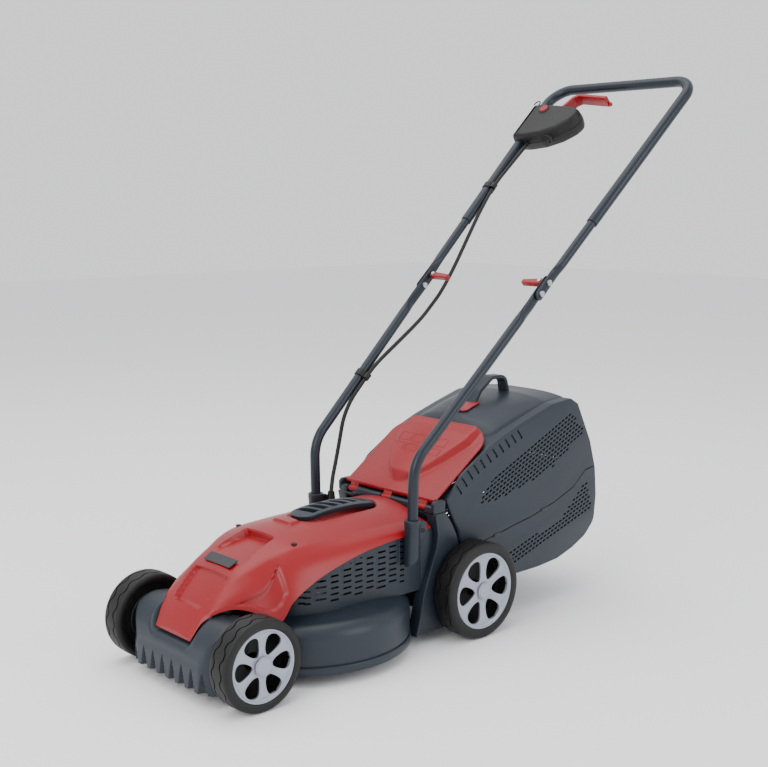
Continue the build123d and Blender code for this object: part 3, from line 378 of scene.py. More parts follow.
# %% Revolved and swept pieces
def revolve(profile, centre, axis, count=96):
    """A (distance along axis, radius) profile turned about the axis "x" or "z"."""
    rows = []
    for along, radius in profile:
        row = []
        for k in range(count):
            angle = 2 * math.pi * k / count
            c, s = math.cos(angle) * radius, math.sin(angle) * radius
            if axis == "x":
                row.append((centre[0] + along, centre[1] + c, centre[2] + s))
            else:
                row.append((centre[0] + c, centre[1] + s, centre[2] + along))
        rows.append(row)
    return grid(rows, wrap=True)


def path(points, radius, step=4.0):
    """A 3-D line with arcs at its corners, sampled for sweeping."""
    points = [np.array(p, float) for p in points]
    line = [points[0]]
    for before, here, after in zip(points, points[1:], points[2:]):
        a, b = before - here, after - here
        la, lb = np.linalg.norm(a), np.linalg.norm(b)
        a, b = a / la, b / lb
        half = math.acos(max(-1.0, min(1.0, float(a @ b)))) / 2
        reach = min(radius / math.tan(half), la * 0.49, lb * 0.49)
        bend = reach * math.tan(half)
        middle = (a + b) / np.linalg.norm(a + b)
        centre = here + middle * bend / math.sin(half)
        start = here + a * reach - centre
        turn = math.pi - 2 * half
        side = here + b * reach - centre
        side = side - start * float(side @ start) / float(start @ start)
        side = side / np.linalg.norm(side) * bend
        count = max(3, int(bend * turn / step))
        for k in range(count + 1):
            angle = turn * k / count
            line.append(centre + start * math.cos(angle) + side * math.sin(angle))
    line.append(points[-1])
    return line


def sweep(line, section, up):
    """Rings of section(i) = [(a, b), ...] along a line; a is sideways, b is towards up."""
    line = np.array(line, float)
    tangent = np.gradient(line, axis=0)
    tangent /= np.linalg.norm(tangent, axis=1, keepdims=True)
    rows = []
    for i, (point, t) in enumerate(zip(line, tangent)):
        side = np.cross(t, up)
        side /= np.linalg.norm(side)
        top = np.cross(side, t)
        rows.append([tuple(point + side * a + top * b) for a, b in section(i)])
    verts, faces = grid(rows, wrap=True)
    return verts, faces + end_caps(verts, len(rows[0]))


def ellipse(a, b, count=28):
    """An elliptical section."""
    return [(a * math.cos(2 * math.pi * k / count), b * math.sin(2 * math.pi * k / count))
            for k in range(count)]


print("mesh builders ready")

# %% [markdown]
# ## Wheels
# A wheel is a black tyre with a closed inner web, a silver trim with six flared spokes and a hub
# cap. The tread carries a wavy groove near each shoulder: the rows of the tread follow the
# groove's own line, so its walls stay crisp.

# %% Wheel dimensions
FACE_X = 173.7
WIDTH = 43.3
FRONT = (-494.1, 72.1)  # axle's y and wheel radius
REAR = (-19.0, 85.0)
BEAD_SHARE = 0.794
GROOVE_WAVES, GROOVE_SWING, GROOVE_DEPTH = 15, 2.6, 2.4
SPOKES = 6


def wave(turns):
    """A trapezoid wave between -1 and 1."""
    t = turns % 1.0
    return max(-1.0, min(1.0, 2.2 * (4 * abs(t - 0.5) - 1)))


# %% Tyre
def tyre_mesh(axle_y, radius, side):
    """Tread with two wavy grooves, side walls, bead, barrel and closed inner web."""
    bead = radius * BEAD_SHARE
    inner = [(4, 5.6), (4, 14), (6, 16), (6, bead * 0.5), (4.4, bead * 0.52),
             (4.4, bead * 0.72), (6, bead * 0.74), (6, bead - 4), (2.2, bead - 1.5),
             (0.6, bead + 2), (0, bead + 5), (0, radius - 7), (0.9, radius - 3.2),
             (3.0, radius - 1.2)]
    tread = [(5.2, -0.5, 0, 0), (7.4, -0.35, 0.3, 0), (9.6, -0.25, 0.8, 0),
             (10.4, -0.2, 1, 0), (10.9, -0.2, 1, 1), (12.7, -0.2, 1, 1), (13.2, -0.15, 1, 0),
             (14.5, -0.1, 0.7, 0), (17.5, 0.0, 0.25, 0), (21.65, 0.0, 0, 0)]
    outer = [(40.3, radius - 1.2), (42.4, radius - 3.2), (43.3, radius - 7),
             (43.3, bead + 5), (42.6, bead + 1.8), (41.6, bead + 0.2), (38, bead - 0.3),
             (13, bead - 1.2), (9.6, bead - 4), (9.6, 16), (11, 14), (37, 14), (37, 5.6)]
    count = 264
    rows = []

    def ring(points):
        row = []
        for k, (along, r) in enumerate(points):
            angle = 2 * math.pi * k / count
            x = side * (FACE_X - WIDTH + along)
            row.append((x, axle_y + r * math.cos(angle), radius + r * math.sin(angle)))
        rows.append(row)

    for along, r in inner:
        ring([(along, r)] * count)
    mirrored = [(WIDTH - a, drop, follow, cut) for a, drop, follow, cut in tread[-2::-1]]
    for along, drop, follow, cut in tread + mirrored:
        hand = 1 if along < WIDTH / 2 else -1
        points = []
        for k in range(count):
            lean = wave(GROOVE_WAVES * k / count + (0.5 if hand < 0 else 0.0)) * GROOVE_SWING
            points.append((along + lean * follow, radius + drop - GROOVE_DEPTH * cut))
        ring(points)
    for along, r in outer:
        ring([(along, r)] * count)
    return grid(rows, wrap=True)


# %% Spoked trim
def trim_mesh(axle_y, radius, side):
    """Six flared spokes between teardrop windows, inside a raised lip."""
    lip = radius * BEAD_SHARE - 0.15
    r_in, r_out = lip * 0.31, lip * 0.9
    radii = [11.8, 13.5, 16.5] + [r_in + (r_out - r_in) * (0.5 - 0.5 * math.cos(math.pi * k / 30))
                                  for k in range(31)]
    radii += [lip * 0.91, lip * 0.93, lip * 0.945, lip * 0.985, lip]
    across = [0.0, 0.05, 0.15, 0.3, 0.5, 0.7, 0.85, 1.0]

    def half_window(r):
        s = (r - r_in) / (r_out - r_in)
        if s <= 0 or s >= 1:
            return 0.0
        width = lip * 0.305 * s ** 0.58 * math.sqrt(1 - s ** 8)
        return math.asin(min(0.95, width / r))

    def face_depth(r):
        s = r / lip
        if s > 0.96:
            return WIDTH - 0.1 - 1.2 * max(0.0, (s - 0.985) / 0.015)
        if s > 0.9:
            return WIDTH - 2.6 + 2.5 * float(smooth_step(s, 0.9, 0.955))
        return WIDTH - 2.6 - 2.2 * math.sin(math.pi * min(1.0, s / 0.9)) ** 2

    rows = []
    for r in radii:
        row = []
        gap = half_window(r)
        for sector in range(SPOKES):
            middle = math.pi / 3 * sector
            angles = [middle + gap + (math.pi / 6 - gap) * t for t in across]
            flips = [middle + math.pi / 3 - gap - (math.pi / 6 - gap) * t for t in across[::-1]]
            bulge = across + across[::-1][1:]
            for angle, t in zip(angles + flips[1:], bulge):
                swell = 1.3 * math.sin(math.pi / 2 * t) * float(smooth_step(r, 16, 24))
                swell *= 1 - float(smooth_step(r, lip * 0.8, lip * 0.9))
                x = side * (FACE_X - WIDTH + face_depth(r) + swell - 0.9)
                row.append((x, axle_y + r * math.cos(angle), radius + r * math.sin(angle)))
        rows.append(row)
    per = 2 * len(across) - 1

    def in_window(i, j):
        gap = max(half_window(radii[i]), half_window(radii[i + 1]))
        return j % per == per - 1 and gap > 0

    return grid(rows, wrap=True, skip=in_window)


# %% Hub cap
def cap_mesh(axle_y, radius, side):
    """A flat cap with a soft rim and a fine ring groove."""
    base = FACE_X - WIDTH
    profile = [(34, 11.5), (39.5, 11.6), (40.4, 15.2), (42.4, 15.5), (43.3, 14.9),
               (43.6, 13.9), (43.0, 13.4), (43.0, 13.0), (43.75, 12.5), (43.95, 10.5),
               (44.0, 6), (44.0, 0.02)]
    return revolve([(side * (base + a), r) for a, r in profile], (0, axle_y, radius), "x", 72)


# %% Put the wheels on their bodies
for end, (axle_y, radius) in (("front", FRONT), ("rear", REAR)):
    for hand, side in (("right", -1), ("left", 1)):
        body = f"wheel_{end}_{hand}"
        tag = f"{end}_{hand}"
        tyre = place("Tyre " + tag, *tyre_mesh(axle_y, radius, side), body, "tyre", angle=38)
        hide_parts("tyre_" + tag)
        trim = place("Trim " + tag, *trim_mesh(axle_y, radius, side), body, "silver",
                     steps=[thick(5.0), rim(0.7)], angle=35)
        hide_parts("trim_" + tag)
        cap = place("Cap " + tag, *cap_mesh(axle_y, radius, side), body, "silver", angle=30)
        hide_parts("cap_" + tag)
print("wheels: 4 x tyre, trim, cap")

# %% [markdown]
# ## Deck
# The round blade housing, the comb-fronted body between the front wheels and the rear body are
# three meshes on the deck.

# %% Round blade housing
BLADE_Y = -280.0
SHOULDER = (152, 72.5)  # radius and height of the rounded shoulder's centre


def shoulder_arc(radius, start, end, count):
    """Points of the housing's rounded shoulder between two angles in degrees."""
    return [(SHOULDER[0] + radius * math.cos(a), SHOULDER[1] + radius * math.sin(a))
            for a in np.radians(np.linspace(start, end, count))]


arc = shoulder_arc(26, 0, 90, 9)
inner_arc = shoulder_arc(23, 90, 0, 7)
outer_line = [(178.4, 19), (179.6, 19.4), (180, 20.5), (180, 31), (179.4, 32.2), (178.0, 32.6),
              (177.0, 33.2), (177.2, 34.6), (178, 35.6)] + arc + [(138, 102), (124, 104),
                                                                  (60, 104), (30, 104)]
inner_line = [(30, 101), (124, 101)] + inner_arc + [(175, 40), (175, 22), (175.6, 19.2)]
profile = [(z, r) for r, z in outer_line + inner_line + outer_line[:1]]
verts, faces = revolve(profile, (0, BLADE_Y, 0), "z", 144)


def in_chute(face):
    """True for the part of the housing that the chute opens."""
    x, y, z = np.mean([verts[i] for i in face], axis=0)
    return y > BLADE_Y + 90 and abs(x) < 104 and 44 < z < 100


housing = place("Blade housing", verts, [f for f in faces if not in_chute(f)], "deck", "slate",
                angle=30)
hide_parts("blade_housing")
print("blade housing faces:", len(housing.data.polygons))

# %% Front body with the comb
COMB_PITCH = 27.0
COMB_HALF = 106.0
FRONT_Y = -553.0
CORNER_X, CORNER_R = 84, 34
EDGE_X, EDGE_R = 108, 10
FRONT_BACK_Y = -428


def front_rail(x):
    """One lengthwise line of the front body at x, from the lip over the top to the back."""
    ax = abs(x)
    nose = float(1 - smooth_step(ax, 47, 66))
    corner, edge = (0.0 if ax < at else r - math.sqrt(max(0.0, r ** 2 - (ax - at) ** 2))
                    for at, r in ((CORNER_X, CORNER_R), (EDGE_X, EDGE_R)))
    front = FRONT_Y + corner
    line = []
    heights = list(np.linspace(20, 56, 19)) + list(np.linspace(58, 70, 5))
    groove_x = (ax / COMB_PITCH - 0.5) % 1.0
    distance = min(groove_x, 1 - groove_x) * COMB_PITCH
    for z in heights:
        depth = 0.0
        down = (54 - z) / 34
        if down > 0 and ax < COMB_HALF:
            half = 8.6 * down ** 0.8
            if distance < half:
                depth = 11 * down ** 0.45 * (1 - (distance / half) ** 2.2)
        belly = 3.5 * float(smooth_step(z, 66, 48)) - 3.5
        line.append((x, front - belly * 0.6 + depth - 2.0, z))
    start_y, start_z = line[-1][1], line[-1][2]
    for k in range(1, 15):
        angle = math.pi / 2 * k / 14
        fender = (-501 - 50 * math.cos(angle), 72 + (53 - edge) * math.sin(angle))
        low = (start_y + 4 * math.sin(angle) + 60 * (k / 14) ** 3,
               start_z + 18 * math.sin(angle) ** 0.8)
        y = low[0] * nose + max(fender[0], start_y) * (1 - nose)
        z = low[1] * nose + fender[1] * (1 - nose)
        line.append((x, y, z))
    crest = line[36]
    for k in range(1, 8):
        fall = 26 * (1 - nose) * (k / 7) ** 2
        line.append((x, crest[1] + (FRONT_BACK_Y - crest[1]) * k / 7, crest[2] - fall))
    return line


columns = sorted(set(np.round(np.concatenate([np.arange(-108, 108.1, 1.5),
                                              -np.linspace(108, 118, 8),
                                              np.linspace(108, 118, 8)]), 3)))
rails = [front_rail(x) for x in columns]
skin = grid(rails)
walls = []
for side in (0, -1):
    line = rails[side]
    drop = [[(x, y, 20 + (z - 20) * t) for x, y, z in line] for t in np.linspace(1, 0, 9)]
    walls.append(grid(drop))
front_body = place("Front body", *join(skin, *walls), "deck", "slate",
                   steps=[thick(3.0)], angle=40)
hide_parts("deck_shell")
print("front body faces:", len(front_body.data.polygons))

# %% Rear body
REAR_SIDE = [(-143, 20), (-134, 49), (-125, 87), (-115, 115), (-101, 144), (-87, 166),
             (-91, 188), (-93, 204), (-97, 219), (-99, 226), (-71, 226), (-55, 205), (-42, 180),
             (-36, 158), (-27, 138), (-4, 122), (18, 110), (22, 60), (12, 32), (-10, 20)]
side_outline = rounded(REAR_SIDE, [3, 40, 60, 60, 60, 60, 30, 10, 10, 3, 3, 20, 20, 20, 20,
                                   20, 8, 10, 20, 20], 4)
front_edge = [(-143, 20), (-134, 49), (-125, 87), (-115, 115), (-104, 144), (-95, 166),
              (-92, 188), (-94, 205), (-98, 224)]
BAND = 3.6
pieces = []
for side in (-1, 1):
    def out(y, z, x, side=side):
        return (side * x, y, z)
    pieces.append(slab(side_outline, 122.8, 126, out, soft=1.4))
    pieces.append(slab(ribbon(front_edge, -BAND), 106, 130, out, soft=1.2))
panel = [(-118, 98), (-121, 170), (-120, 200), (-98, 203), (-88, 188), (-90, 166),
         (-98, 144), (-112, 115)]
for side in (-1, 1):
    pieces.append(slab(rounded(panel, 4), *side_span(side, 110, 117.4), on_side, soft=1.0))
beam = [(-95, 219), (-99, 226), (-71, 226), (-58, 208), (-74, 201)]
pieces.append(slab(beam, -125.5, 125.5, on_side, soft=1.2))
floor_line = [(-112, 60), (-60, 92), (-10, 112), (18, 117), (18, 114), (-10, 109), (-60, 89),
              (-112, 57)]
pieces.append(slab(floor_line, -123, 123, on_side, soft=0.8))
back_line = [(18, 116), (22, 62), (12, 33), (-8, 21), (-6, 24), (9, 35), (19, 62), (15, 116)]
pieces.append(slab(back_line, -123, 123, on_side, soft=0.8))
rear_body = place("Rear body", *join(*pieces), "deck", "slate", angle=32)
print("rear body faces:", len(rear_body.data.polygons))

# %% [markdown]
# ## Motor shroud
# A wall round the motor whose top follows the red cover's edge. Its cooling slots sit in columns,
# every second column half a step lower.

# %% Slotted shroud
# One row for each station: y, crease x and z, edge x and z, middle z.
COVER = np.array([
    (-543, 45, 93, 49, 90, 95), (-524, 46, 124, 58, 119, 127), (-489, 53, 157, 80, 135, 161),
    (-459, 60, 178, 98, 129, 183), (-424, 69, 194, 119, 109, 201),
    (-399, 76, 204, 121, 136, 212), (-367, 82, 211, 121, 155, 223),
    (-319, 86, 213, 121, 173, 230), (-239, 88, 214, 121, 191, 234),
    (-101, 91, 216, 121, 203, 235)], float)


def arch(y):
    """Height of the cover's lower edge."""
    return float(np.interp(y, COVER[:, 0], COVER[:, 4]))


SHROUD_R, SHROUD_Y = 116.2, -303.0
plan = [(SHROUD_R, y) for y in np.arange(-96, SHROUD_Y, -3.0)]
plan += [(SHROUD_R * math.cos(a), SHROUD_Y - SHROUD_R * math.sin(a))
         for a in np.linspace(0, math.pi, 124)]
plan += [(-x, y) for x, y in plan[:69][::-1]]
levels = [97] + [104 + 5 * k / 3 for k in range(61)]


SLOT_PITCH_Y, SLOT_PITCH_Z = 25, 10
SLOT_GAP, SLOT_HEIGHT = 5.5, 3.4


def slot_cell(i, j):
    """Open cells: columns of low slots, every second column half a step lower."""
    x, y = plan[j]
    z = levels[i]
    if z > arch(y) - 7 or abs(x) < 70 or y > -158:
        return False
    column = int((y + 400) // SLOT_PITCH_Y)
    along = (y + 400) % SLOT_PITCH_Y
    start = (118 if column % 2 else 123) + max(0, (-340 - y) * 0.05)
    between = along > SLOT_GAP and z >= start
    return between and ((z - start) % SLOT_PITCH_Z) < SLOT_HEIGHT and z < arch(y) - 8


rows = [[(x, y, z) for x, y in plan] for z in levels]
verts, faces = grid(rows, skip=slot_cell)


def below_arch(face):
    """True where the shroud shows below the cover."""
    x, y, z = np.mean([verts[i] for i in face], axis=0)
    return z < arch(y) + 6


shroud = place("Motor shroud", verts, [f for f in faces if below_arch(f)], "deck", "slate",
               steps=[thick(1.6, 0)], angle=40)
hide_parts("motor_shroud")
ribs = []
for side in (-1, 1):
    for y in np.arange(-372, -160, float(SLOT_PITCH_Y)):
        x = SHROUD_R if y > SHROUD_Y else math.sqrt(SHROUD_R ** 2 - (y - SHROUD_Y) ** 2)
        top = arch(y) - 2
        ribs.append(sweep([(side * (x + 0.2), y + 2.7, z) for z in np.linspace(106, top, 8)],
                          lambda i: ellipse(2.2 * min(1, 0.2 + i / 4), 1.0 * min(1, i / 4), 10),
                          (1, 0, 0)))
rib_piece = place("Shroud ribs", *join(*ribs), "deck", "slate", angle=40)
print("shroud faces:", len(shroud.data.polygons))

# %% [markdown]
# ## Motor cover
# The cover is one surface through a table of cross-sections. Its recesses, finger scoop and side
# grooves are pressed into the same surface as a depth along its own normal.

# %% Cross-sections of the cover
def station(y):
    """The cover's section values at y, smooth between the table's rows."""
    ys = COVER[:, 0]
    i = int(np.clip(np.searchsorted(ys, y) - 1, 0, len(ys) - 2))
    t = (y - ys[i]) / (ys[i + 1] - ys[i])
    values = []
    for c in range(1, 6):
        col = COVER[:, c]

        def slope(k):
            if k == 0 or k == len(ys) - 1:
                a, b = (0, 1) if k == 0 else (len(ys) - 2, len(ys) - 1)
                return (col[b] - col[a]) / (ys[b] - ys[a])
            return (col[k + 1] - col[k - 1]) / (ys[k + 1] - ys[k - 1])
        h = ys[i + 1] - ys[i]
        values.append(col[i] * (1 + 2 * t) * (1 - t) ** 2 + col[i + 1] * t * t * (3 - 2 * t)
                      + h * slope(i) * t * (1 - t) ** 2 + h * slope(i + 1) * t * t * (t - 1))
    return values


def half_section(y, count=54):
    """Points (x, z, flank share) from the middle to the lower edge, crease softened."""
    cx, cz, ex, ez, mz = station(y)
    top = [(cx * t, mz - (mz - cz) * t ** 2.1) for t in np.linspace(0, 1, 24)]
    bulge = 5.0
    flank = []
    for t in np.linspace(0, 1, 40)[1:]:
        x = cx + (ex - cx) * t + bulge * math.sin(math.pi * t) * (ez < cz - 8)
        flank.append((x, cz + (ez - cz) * t + bulge * 0.4 * math.sin(math.pi * t)))
    line = np.array(top + flank)
    for _ in range(3):
        line[1:-1] = (line[:-2] + 2 * line[1:-1] + line[2:]) / 4
    run = np.concatenate([[0], np.cumsum(np.linalg.norm(np.diff(line, axis=0), axis=1))])
    at = run[-1] * np.linspace(0, 1, count)
    x = np.interp(at, run, line[:, 0])
    z = np.interp(at, run, line[:, 1])
    crease = run[23]
    share = np.clip((at - crease) / (run[-1] - crease), 0, 1)
    return x, z, share


# %% Depth pressed into the cover
def press_depth(x, y, share):
    """How far the surface is pushed in at a point."""
    depth = 0.0
    s = (y + 446) / 74
    if 0 < s < 1.1:
        half = 45 - 8 * s
        depth += (13 * min(1, s) ** 0.9 * float(1 - smooth_step(x, half - 2, half + 2))
                  * float(1 - smooth_step(y, -376, -371)))
    if -521 < y < -464:
        half = 35 + 10 * (y + 518) / 51
        ends = float(smooth_step(y, -519, -515) * (1 - smooth_step(y, -470, -466.5)))
        depth += 6.0 * ends * float(1 - smooth_step(x, half - 2, half + 2))
    along = max(abs(y + 217) - 50, 0)
    scoop = math.hypot(along, x) - 38
    depth += 24 * float(1 - smooth_step(scoop, -16, 2))
    if -331 < y < -306 and x < 26:
        depth -= 4 * float(smooth_step(y, -330, -327) * (1 - smooth_step(y, -309, -307))
                           * (1 - smooth_step(x, 21, 24)))
    if 0.12 < share < 0.95 and -480 < y < -395:
        u = (y + 480) / 80
        low_line = 0.88 - 0.10 * u
        high_line = 0.80 - 0.62 * u
        inside = min(share - high_line, low_line - share) * 60
        rear = (1 - u) * 40
        depth += 5.0 * float(smooth_step(min(inside, rear), 0, 3.5)) * (0.35 + 0.65 * u)
    return depth


# %% Build the cover
NOSE_Y, TAIL_Y = -543, -101
stations = sorted(set(np.round(np.concatenate([np.arange(NOSE_Y, TAIL_Y, 2.4),
                                               np.arange(-380, -368, 0.9),
                                               np.arange(-472, -464, 0.9),
                                               [float(TAIL_Y)]]), 2)))
rows = []
for y in stations:
    x, z, share = half_section(y)
    dx, dz = np.gradient(x), np.gradient(z)
    size = np.hypot(dx, dz)
    nx, nz = -dz / size, dx / size
    slope = (station(min(y + 2, TAIL_Y))[4] - station(max(y - 2, NOSE_Y))[4]) / 4
    lean = np.clip(slope, -0.2, 2.0)
    half = []
    for k in range(len(x)):
        depth = press_depth(x[k], y, share[k])
        back = depth * lean / math.hypot(1, lean) * (1 - share[k])
        down = depth / math.hypot(1, lean) if share[k] == 0 else depth
        half.append((x[k] - nx[k] * depth * (share[k] > 0), y + back, z[k] - nz[k] * down))
    rows.append([(-a, b, c) for a, b, c in half[::-1]] + half[1:])
lid = [[(x, NOSE_Y + 0.6 * (1 - t), 89 + (z - 89) * t) for x, y, z in rows[0]]
       for t in (0, 0.5, 1)]
cover = place("Motor cover", *join(grid(rows), grid(lid)), "deck", "red",
              steps=[thick(2.2)], angle=36)
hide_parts("top_cover")
print("cover faces:", len(cover.data.polygons))

# %% Carry handle
CARRY_Y, CARRY_HALF_LENGTH, CARRY_HALF_WIDTH = -217, 85, 27.0
RIB_PITCH, RIB_OPENING = 22, 14.5


def handle_top(x, y):
    """The bowed top of the carry handle."""
    t = (y - CARRY_Y) / CARRY_HALF_LENGTH
    return 245.0 - 9.5 * abs(t) ** 2.6 - 3.0 * (x / 27) ** 2


def handle_half(y):
    """Half width of the handle's rounded outline."""
    t = abs(y - CARRY_Y)
    if t < 60:
        return CARRY_HALF_WIDTH
    return math.sqrt(max(0.5, CARRY_HALF_WIDTH ** 2 - ((t - 60) / 25 * 26.8) ** 2))


rows = []
ticks = np.linspace(-301.5, -132.5, 86)
spans = [-1, -0.86, -0.66, -0.33, 0, 0.33, 0.66, 0.86, 1]
for y in ticks:
    half = handle_half(y)
    row = []
    for t in spans:
        away = abs(y - CARRY_Y)
        skew = 0.38 * t * half * (1 if away < 66 else max(0, (CARRY_HALF_LENGTH - away) / 19))
        row.append((t * half, np.clip(y + skew * (abs(t) < 0.8), -302, -132),
                    handle_top(t * half, y)))
    rows.append(row)


def handle_window(i, j):
    """The openings between the slanting ribs."""
    along = ticks[i] - CARRY_Y
    if abs(along) > 66 or j < 2 or j > 5:
        return False
    return ((along + 66) % RIB_PITCH) < RIB_OPENING


carry = place("Carry handle", *grid(rows, skip=handle_window), "deck", "slate",
              steps=[thick(8.0), rim(1.6, 3, 45)], angle=40)
feet = [slab(rounded([(-12, y - 6), (12, y - 6), (12, y + 6), (-12, y + 6)], 3), 224, 236,
             on_plan, soft=1) for y in (-293, -141)]
foot_piece = place("Carry handle feet", *join(*feet), "deck", "slate")
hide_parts("carry_handle")
print("carry handle faces:", len(carry.data.polygons))

# %% [markdown]
# ## Discharge flap and hinge
# The flap is drawn on its own sloping plane: u runs across, v up the slope and h is height above
# the plane.

# %% Flap surface
TILT_F = math.radians(35.3)
FLAP_HALF = 117
HINGE_YZ = (-92, 233)


def on_flap(u, v, h):
    """A point of the flap's plane."""
    return (u, -86 + v * math.cos(TILT_F) - h * math.sin(TILT_F),
            247 + v * math.sin(TILT_F) + h * math.cos(TILT_F))


def flap_height(u, v):
    """The raised tongue in the middle and the turned-down rims."""
    a = abs(u)
    half = 96 * math.sqrt(max(0.0, min(1.0, (v - 20) / 118)))
    if v > 138:
        half = 96
    tongue = float(1 - smooth_step(a, half - 15, half)) if half > 0 else 0.0
    tongue *= float(smooth_step(v, 18, 40))
    return 11.5 * tongue * (1 - 0.25 * float(smooth_step(v, 150, 174)))


rows = []
for v in np.linspace(0, 174, 88):
    half = FLAP_HALF if v < 130 else FLAP_HALF - 30 * ((v - 130) / 44) ** 2.2
    row = []
    for t in np.linspace(-1, 1, 121):
        fade = float(smooth_step(abs(t), 1.0, 0.9))
        row.append(on_flap(t * half, v, flap_height(t * half, v) * fade
                           - 1.6 * float(smooth_step(abs(t), 0.975, 1.0))))
    rows.append(row)
lip = [[on_flap(t, -v, h) for t in np.linspace(-FLAP_HALF, FLAP_HALF, 60)]
       for v, h in ((0, 0), (-1.5, 2.2), (-0.2, 3.6), (2.6, 3.4), (4.6, 1.0), (4.9, -3.5))]
flap = place("Discharge flap", *join(grid(rows), grid(lip)), "flap", "red",
             steps=[thick(3.6), rim(0.9, 2, 50)], angle=38)
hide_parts("discharge_flap")
marks = []
for u, v, w, d in ((-52, 118, 30, 20), (-18, 118, 30, 20), (40, 118, 26, 20),
                   (-52, 94, 30, 16), (-18, 94, 30, 16), (38, 94, 30, 16)):
    outer = rounded([(u - w / 2, v - d / 2), (u + w / 2, v - d / 2), (u + w / 2, v + d / 2),
                     (u - w / 2, v + d / 2)], 2)
    inner = [tuple(p) for p in inset(outer, 0.9)]
    rings = [[on_flap(a, b, flap_height(a, b) + h) for a, b in line]
             for line, h in ((outer, -0.3), (outer, 0.35), (inner, 0.35), (inner, -0.3))]
    marks.append(grid(rings, wrap=True))
mark_piece = place("Flap frames", *join(*marks), "flap", "red", angle=30)
knuckles = [revolve([(x - 11, 2.6), (x - 11, 5.2), (x + 11, 5.2), (x + 11, 2.6)],
                    (0, *HINGE_YZ), "x", 32) for x in (-90, 0, 90)]
webs = [slab([(-94, 234), (-87, 234), (-85, 245), (-90, 245)], x - 10.5, x + 10.5, on_side)
        for x in (-90, 0, 90)]
knuckle_piece = place("Flap knuckles", *join(*knuckles, *webs), "flap", "red")
print("flap faces:", len(flap.data.polygons))

# %% Hinge bar with end blocks
bar = rounded([(-99, 226.4), (-85.5, 226.4), (-85.5, 235), (-89, 238.6), (-96, 238.6),
               (-99, 236)], 1.2)
parts = []
for low_x, high_x in ((-118.5, -102.6), (-77.4, -12.6), (12.6, 77.4), (102.6, 118.5)):
    parts.append(slab(bar, low_x, high_x, on_side, soft=0.6))
block = rounded([(-99, 226.4), (-71, 226.4), (-70, 244), (-74, 248), (-94, 248), (-99, 243)], 3)
for side in (-1, 1):
    parts.append(slab(block, *side_span(side, 118.6, 126), on_side, soft=1.2))
hinge = place("Hinge bar", *join(*parts), "deck", "slate")
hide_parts("hinge_bar")
print("hinge pieces:", len(parts))

# %% [markdown]
# ## Grass box
# The shell is a hollow slab cut by a batch of small boxes: rows of air slots, the ribs along the
# upper edge, and the seam that divides the upper half from the lower one.

# %% Shell with its cuts
BOX_HALF, BOX_WALL, SEAM_GAP = 126.0, 2.6, 0.9
SLOT_STEP, SLOT_ROW, SLOT_SIZE = 10.5, 7.2, (7.2, 3.4)
BOX_SIDE = [(-66, 243), (-29, 284), (38, 325), (93, 347), (149, 365), (210, 383), (262, 388),
            (283, 376), (322, 300), (339, 245), (344, 190), (339, 140), (312, 113), (275, 96),
            (232, 83), (178, 78), (100, 77), (30, 80), (28, 118), (0, 128), (-22, 144),
            (-31, 162), (-37, 184), (-50, 208)]
SEAM = [(-120, 146), (7, 154), (64, 163), (104, 171), (153, 179), (218, 196), (272, 216),
        (307, 244), (420, 262)]
box_radii = [6, 40, 60, 60, 60, 30, 14, 14, 60, 50, 50, 30, 40, 40, 40, 40, 40, 8, 8, 20, 20,
             20, 20, 20]
box_line = rounded(BOX_SIDE, box_radii, 5)


def cut_box(centre, along, length, height, depth_x):
    """A box across x, centred at (y, z), turned to run along the (y, z) direction."""
    cy, cz = centre
    ay, az = along[0] * length / 2, along[1] * length / 2
    by, bz = -along[1] * height / 2, along[0] * height / 2
    corners = [(cy - ay - by, cz - az - bz), (cy + ay - by, cz + az - bz),
               (cy + ay + by, cz + az + bz), (cy - ay + by, cz - az + bz)]
    verts, faces = [], []
    for x in depth_x:
        verts += [(x, y, z) for y, z in corners]
    faces = [(3, 2, 1, 0), (4, 5, 6, 7), (0, 1, 5, 4), (1, 2, 6, 5), (2, 3, 7, 6), (3, 0, 4, 7)]
    return verts, faces


def inside(point, polygon):
    """True if a point is in a polygon."""
    y, z = point
    odd = False
    for (y0, z0), (y1, z1) in zip(polygon, polygon[1:] + polygon[:1]):
        if (z0 > z) != (z1 > z) and y < (y1 - y0) * (z - z0) / (z1 - z0) + y0:
            odd = not odd
    return odd


UPPER_AREA = [(14, 226), (20, 246), (43, 262), (90, 287), (135, 309), (184, 330), (262, 362),
              (300, 320), (265, 300), (219, 268), (175, 252), (120, 238), (67, 228)]
LOWER_AREA = [(86, 98), (96, 124), (173, 144), (236, 160), (311, 222), (334, 160),
              (306, 122), (262, 104), (214, 94), (140, 92)]
cutters = []
for region, lean in ((UPPER_AREA, 24.0), (LOWER_AREA, 17.0)):
    run = (math.cos(math.radians(lean)), math.sin(math.radians(lean)))
    for row in range(-14, 30):
        for k in range(-4, 40):
            a, b = k * SLOT_STEP + (5.2 if row % 2 else 0), row * SLOT_ROW
            spot = (20 + a * run[0] - b * run[1], 180 + a * run[1] + b * run[0])
            if inside(spot, region):
                cutters.append(cut_box(spot, run, *SLOT_SIZE, (-140, 140)))
edge = np.array([(-41, 257), (-9, 283), (38, 306), (93, 329), (124, 340)], float)
reach = np.concatenate([[0], np.cumsum(np.linalg.norm(np.diff(edge, axis=0), axis=1))])
for at in np.arange(4, reach[-1], 17.5):
    spot = (np.interp(at, reach, edge[:, 0]), np.interp(at, reach, edge[:, 1]))
    for xs in ((-130, -123.5), (123.5, 130)):
        cutters.append(cut_box(spot, (0.62, -0.78), 21, 4.2, xs))
print("slots to cut:", len(cutters))

# %% Cut the shell
def loose(name, mesh_data):
    """A working object that isn't kept."""
    return place(name, *mesh_data, None, "slate")


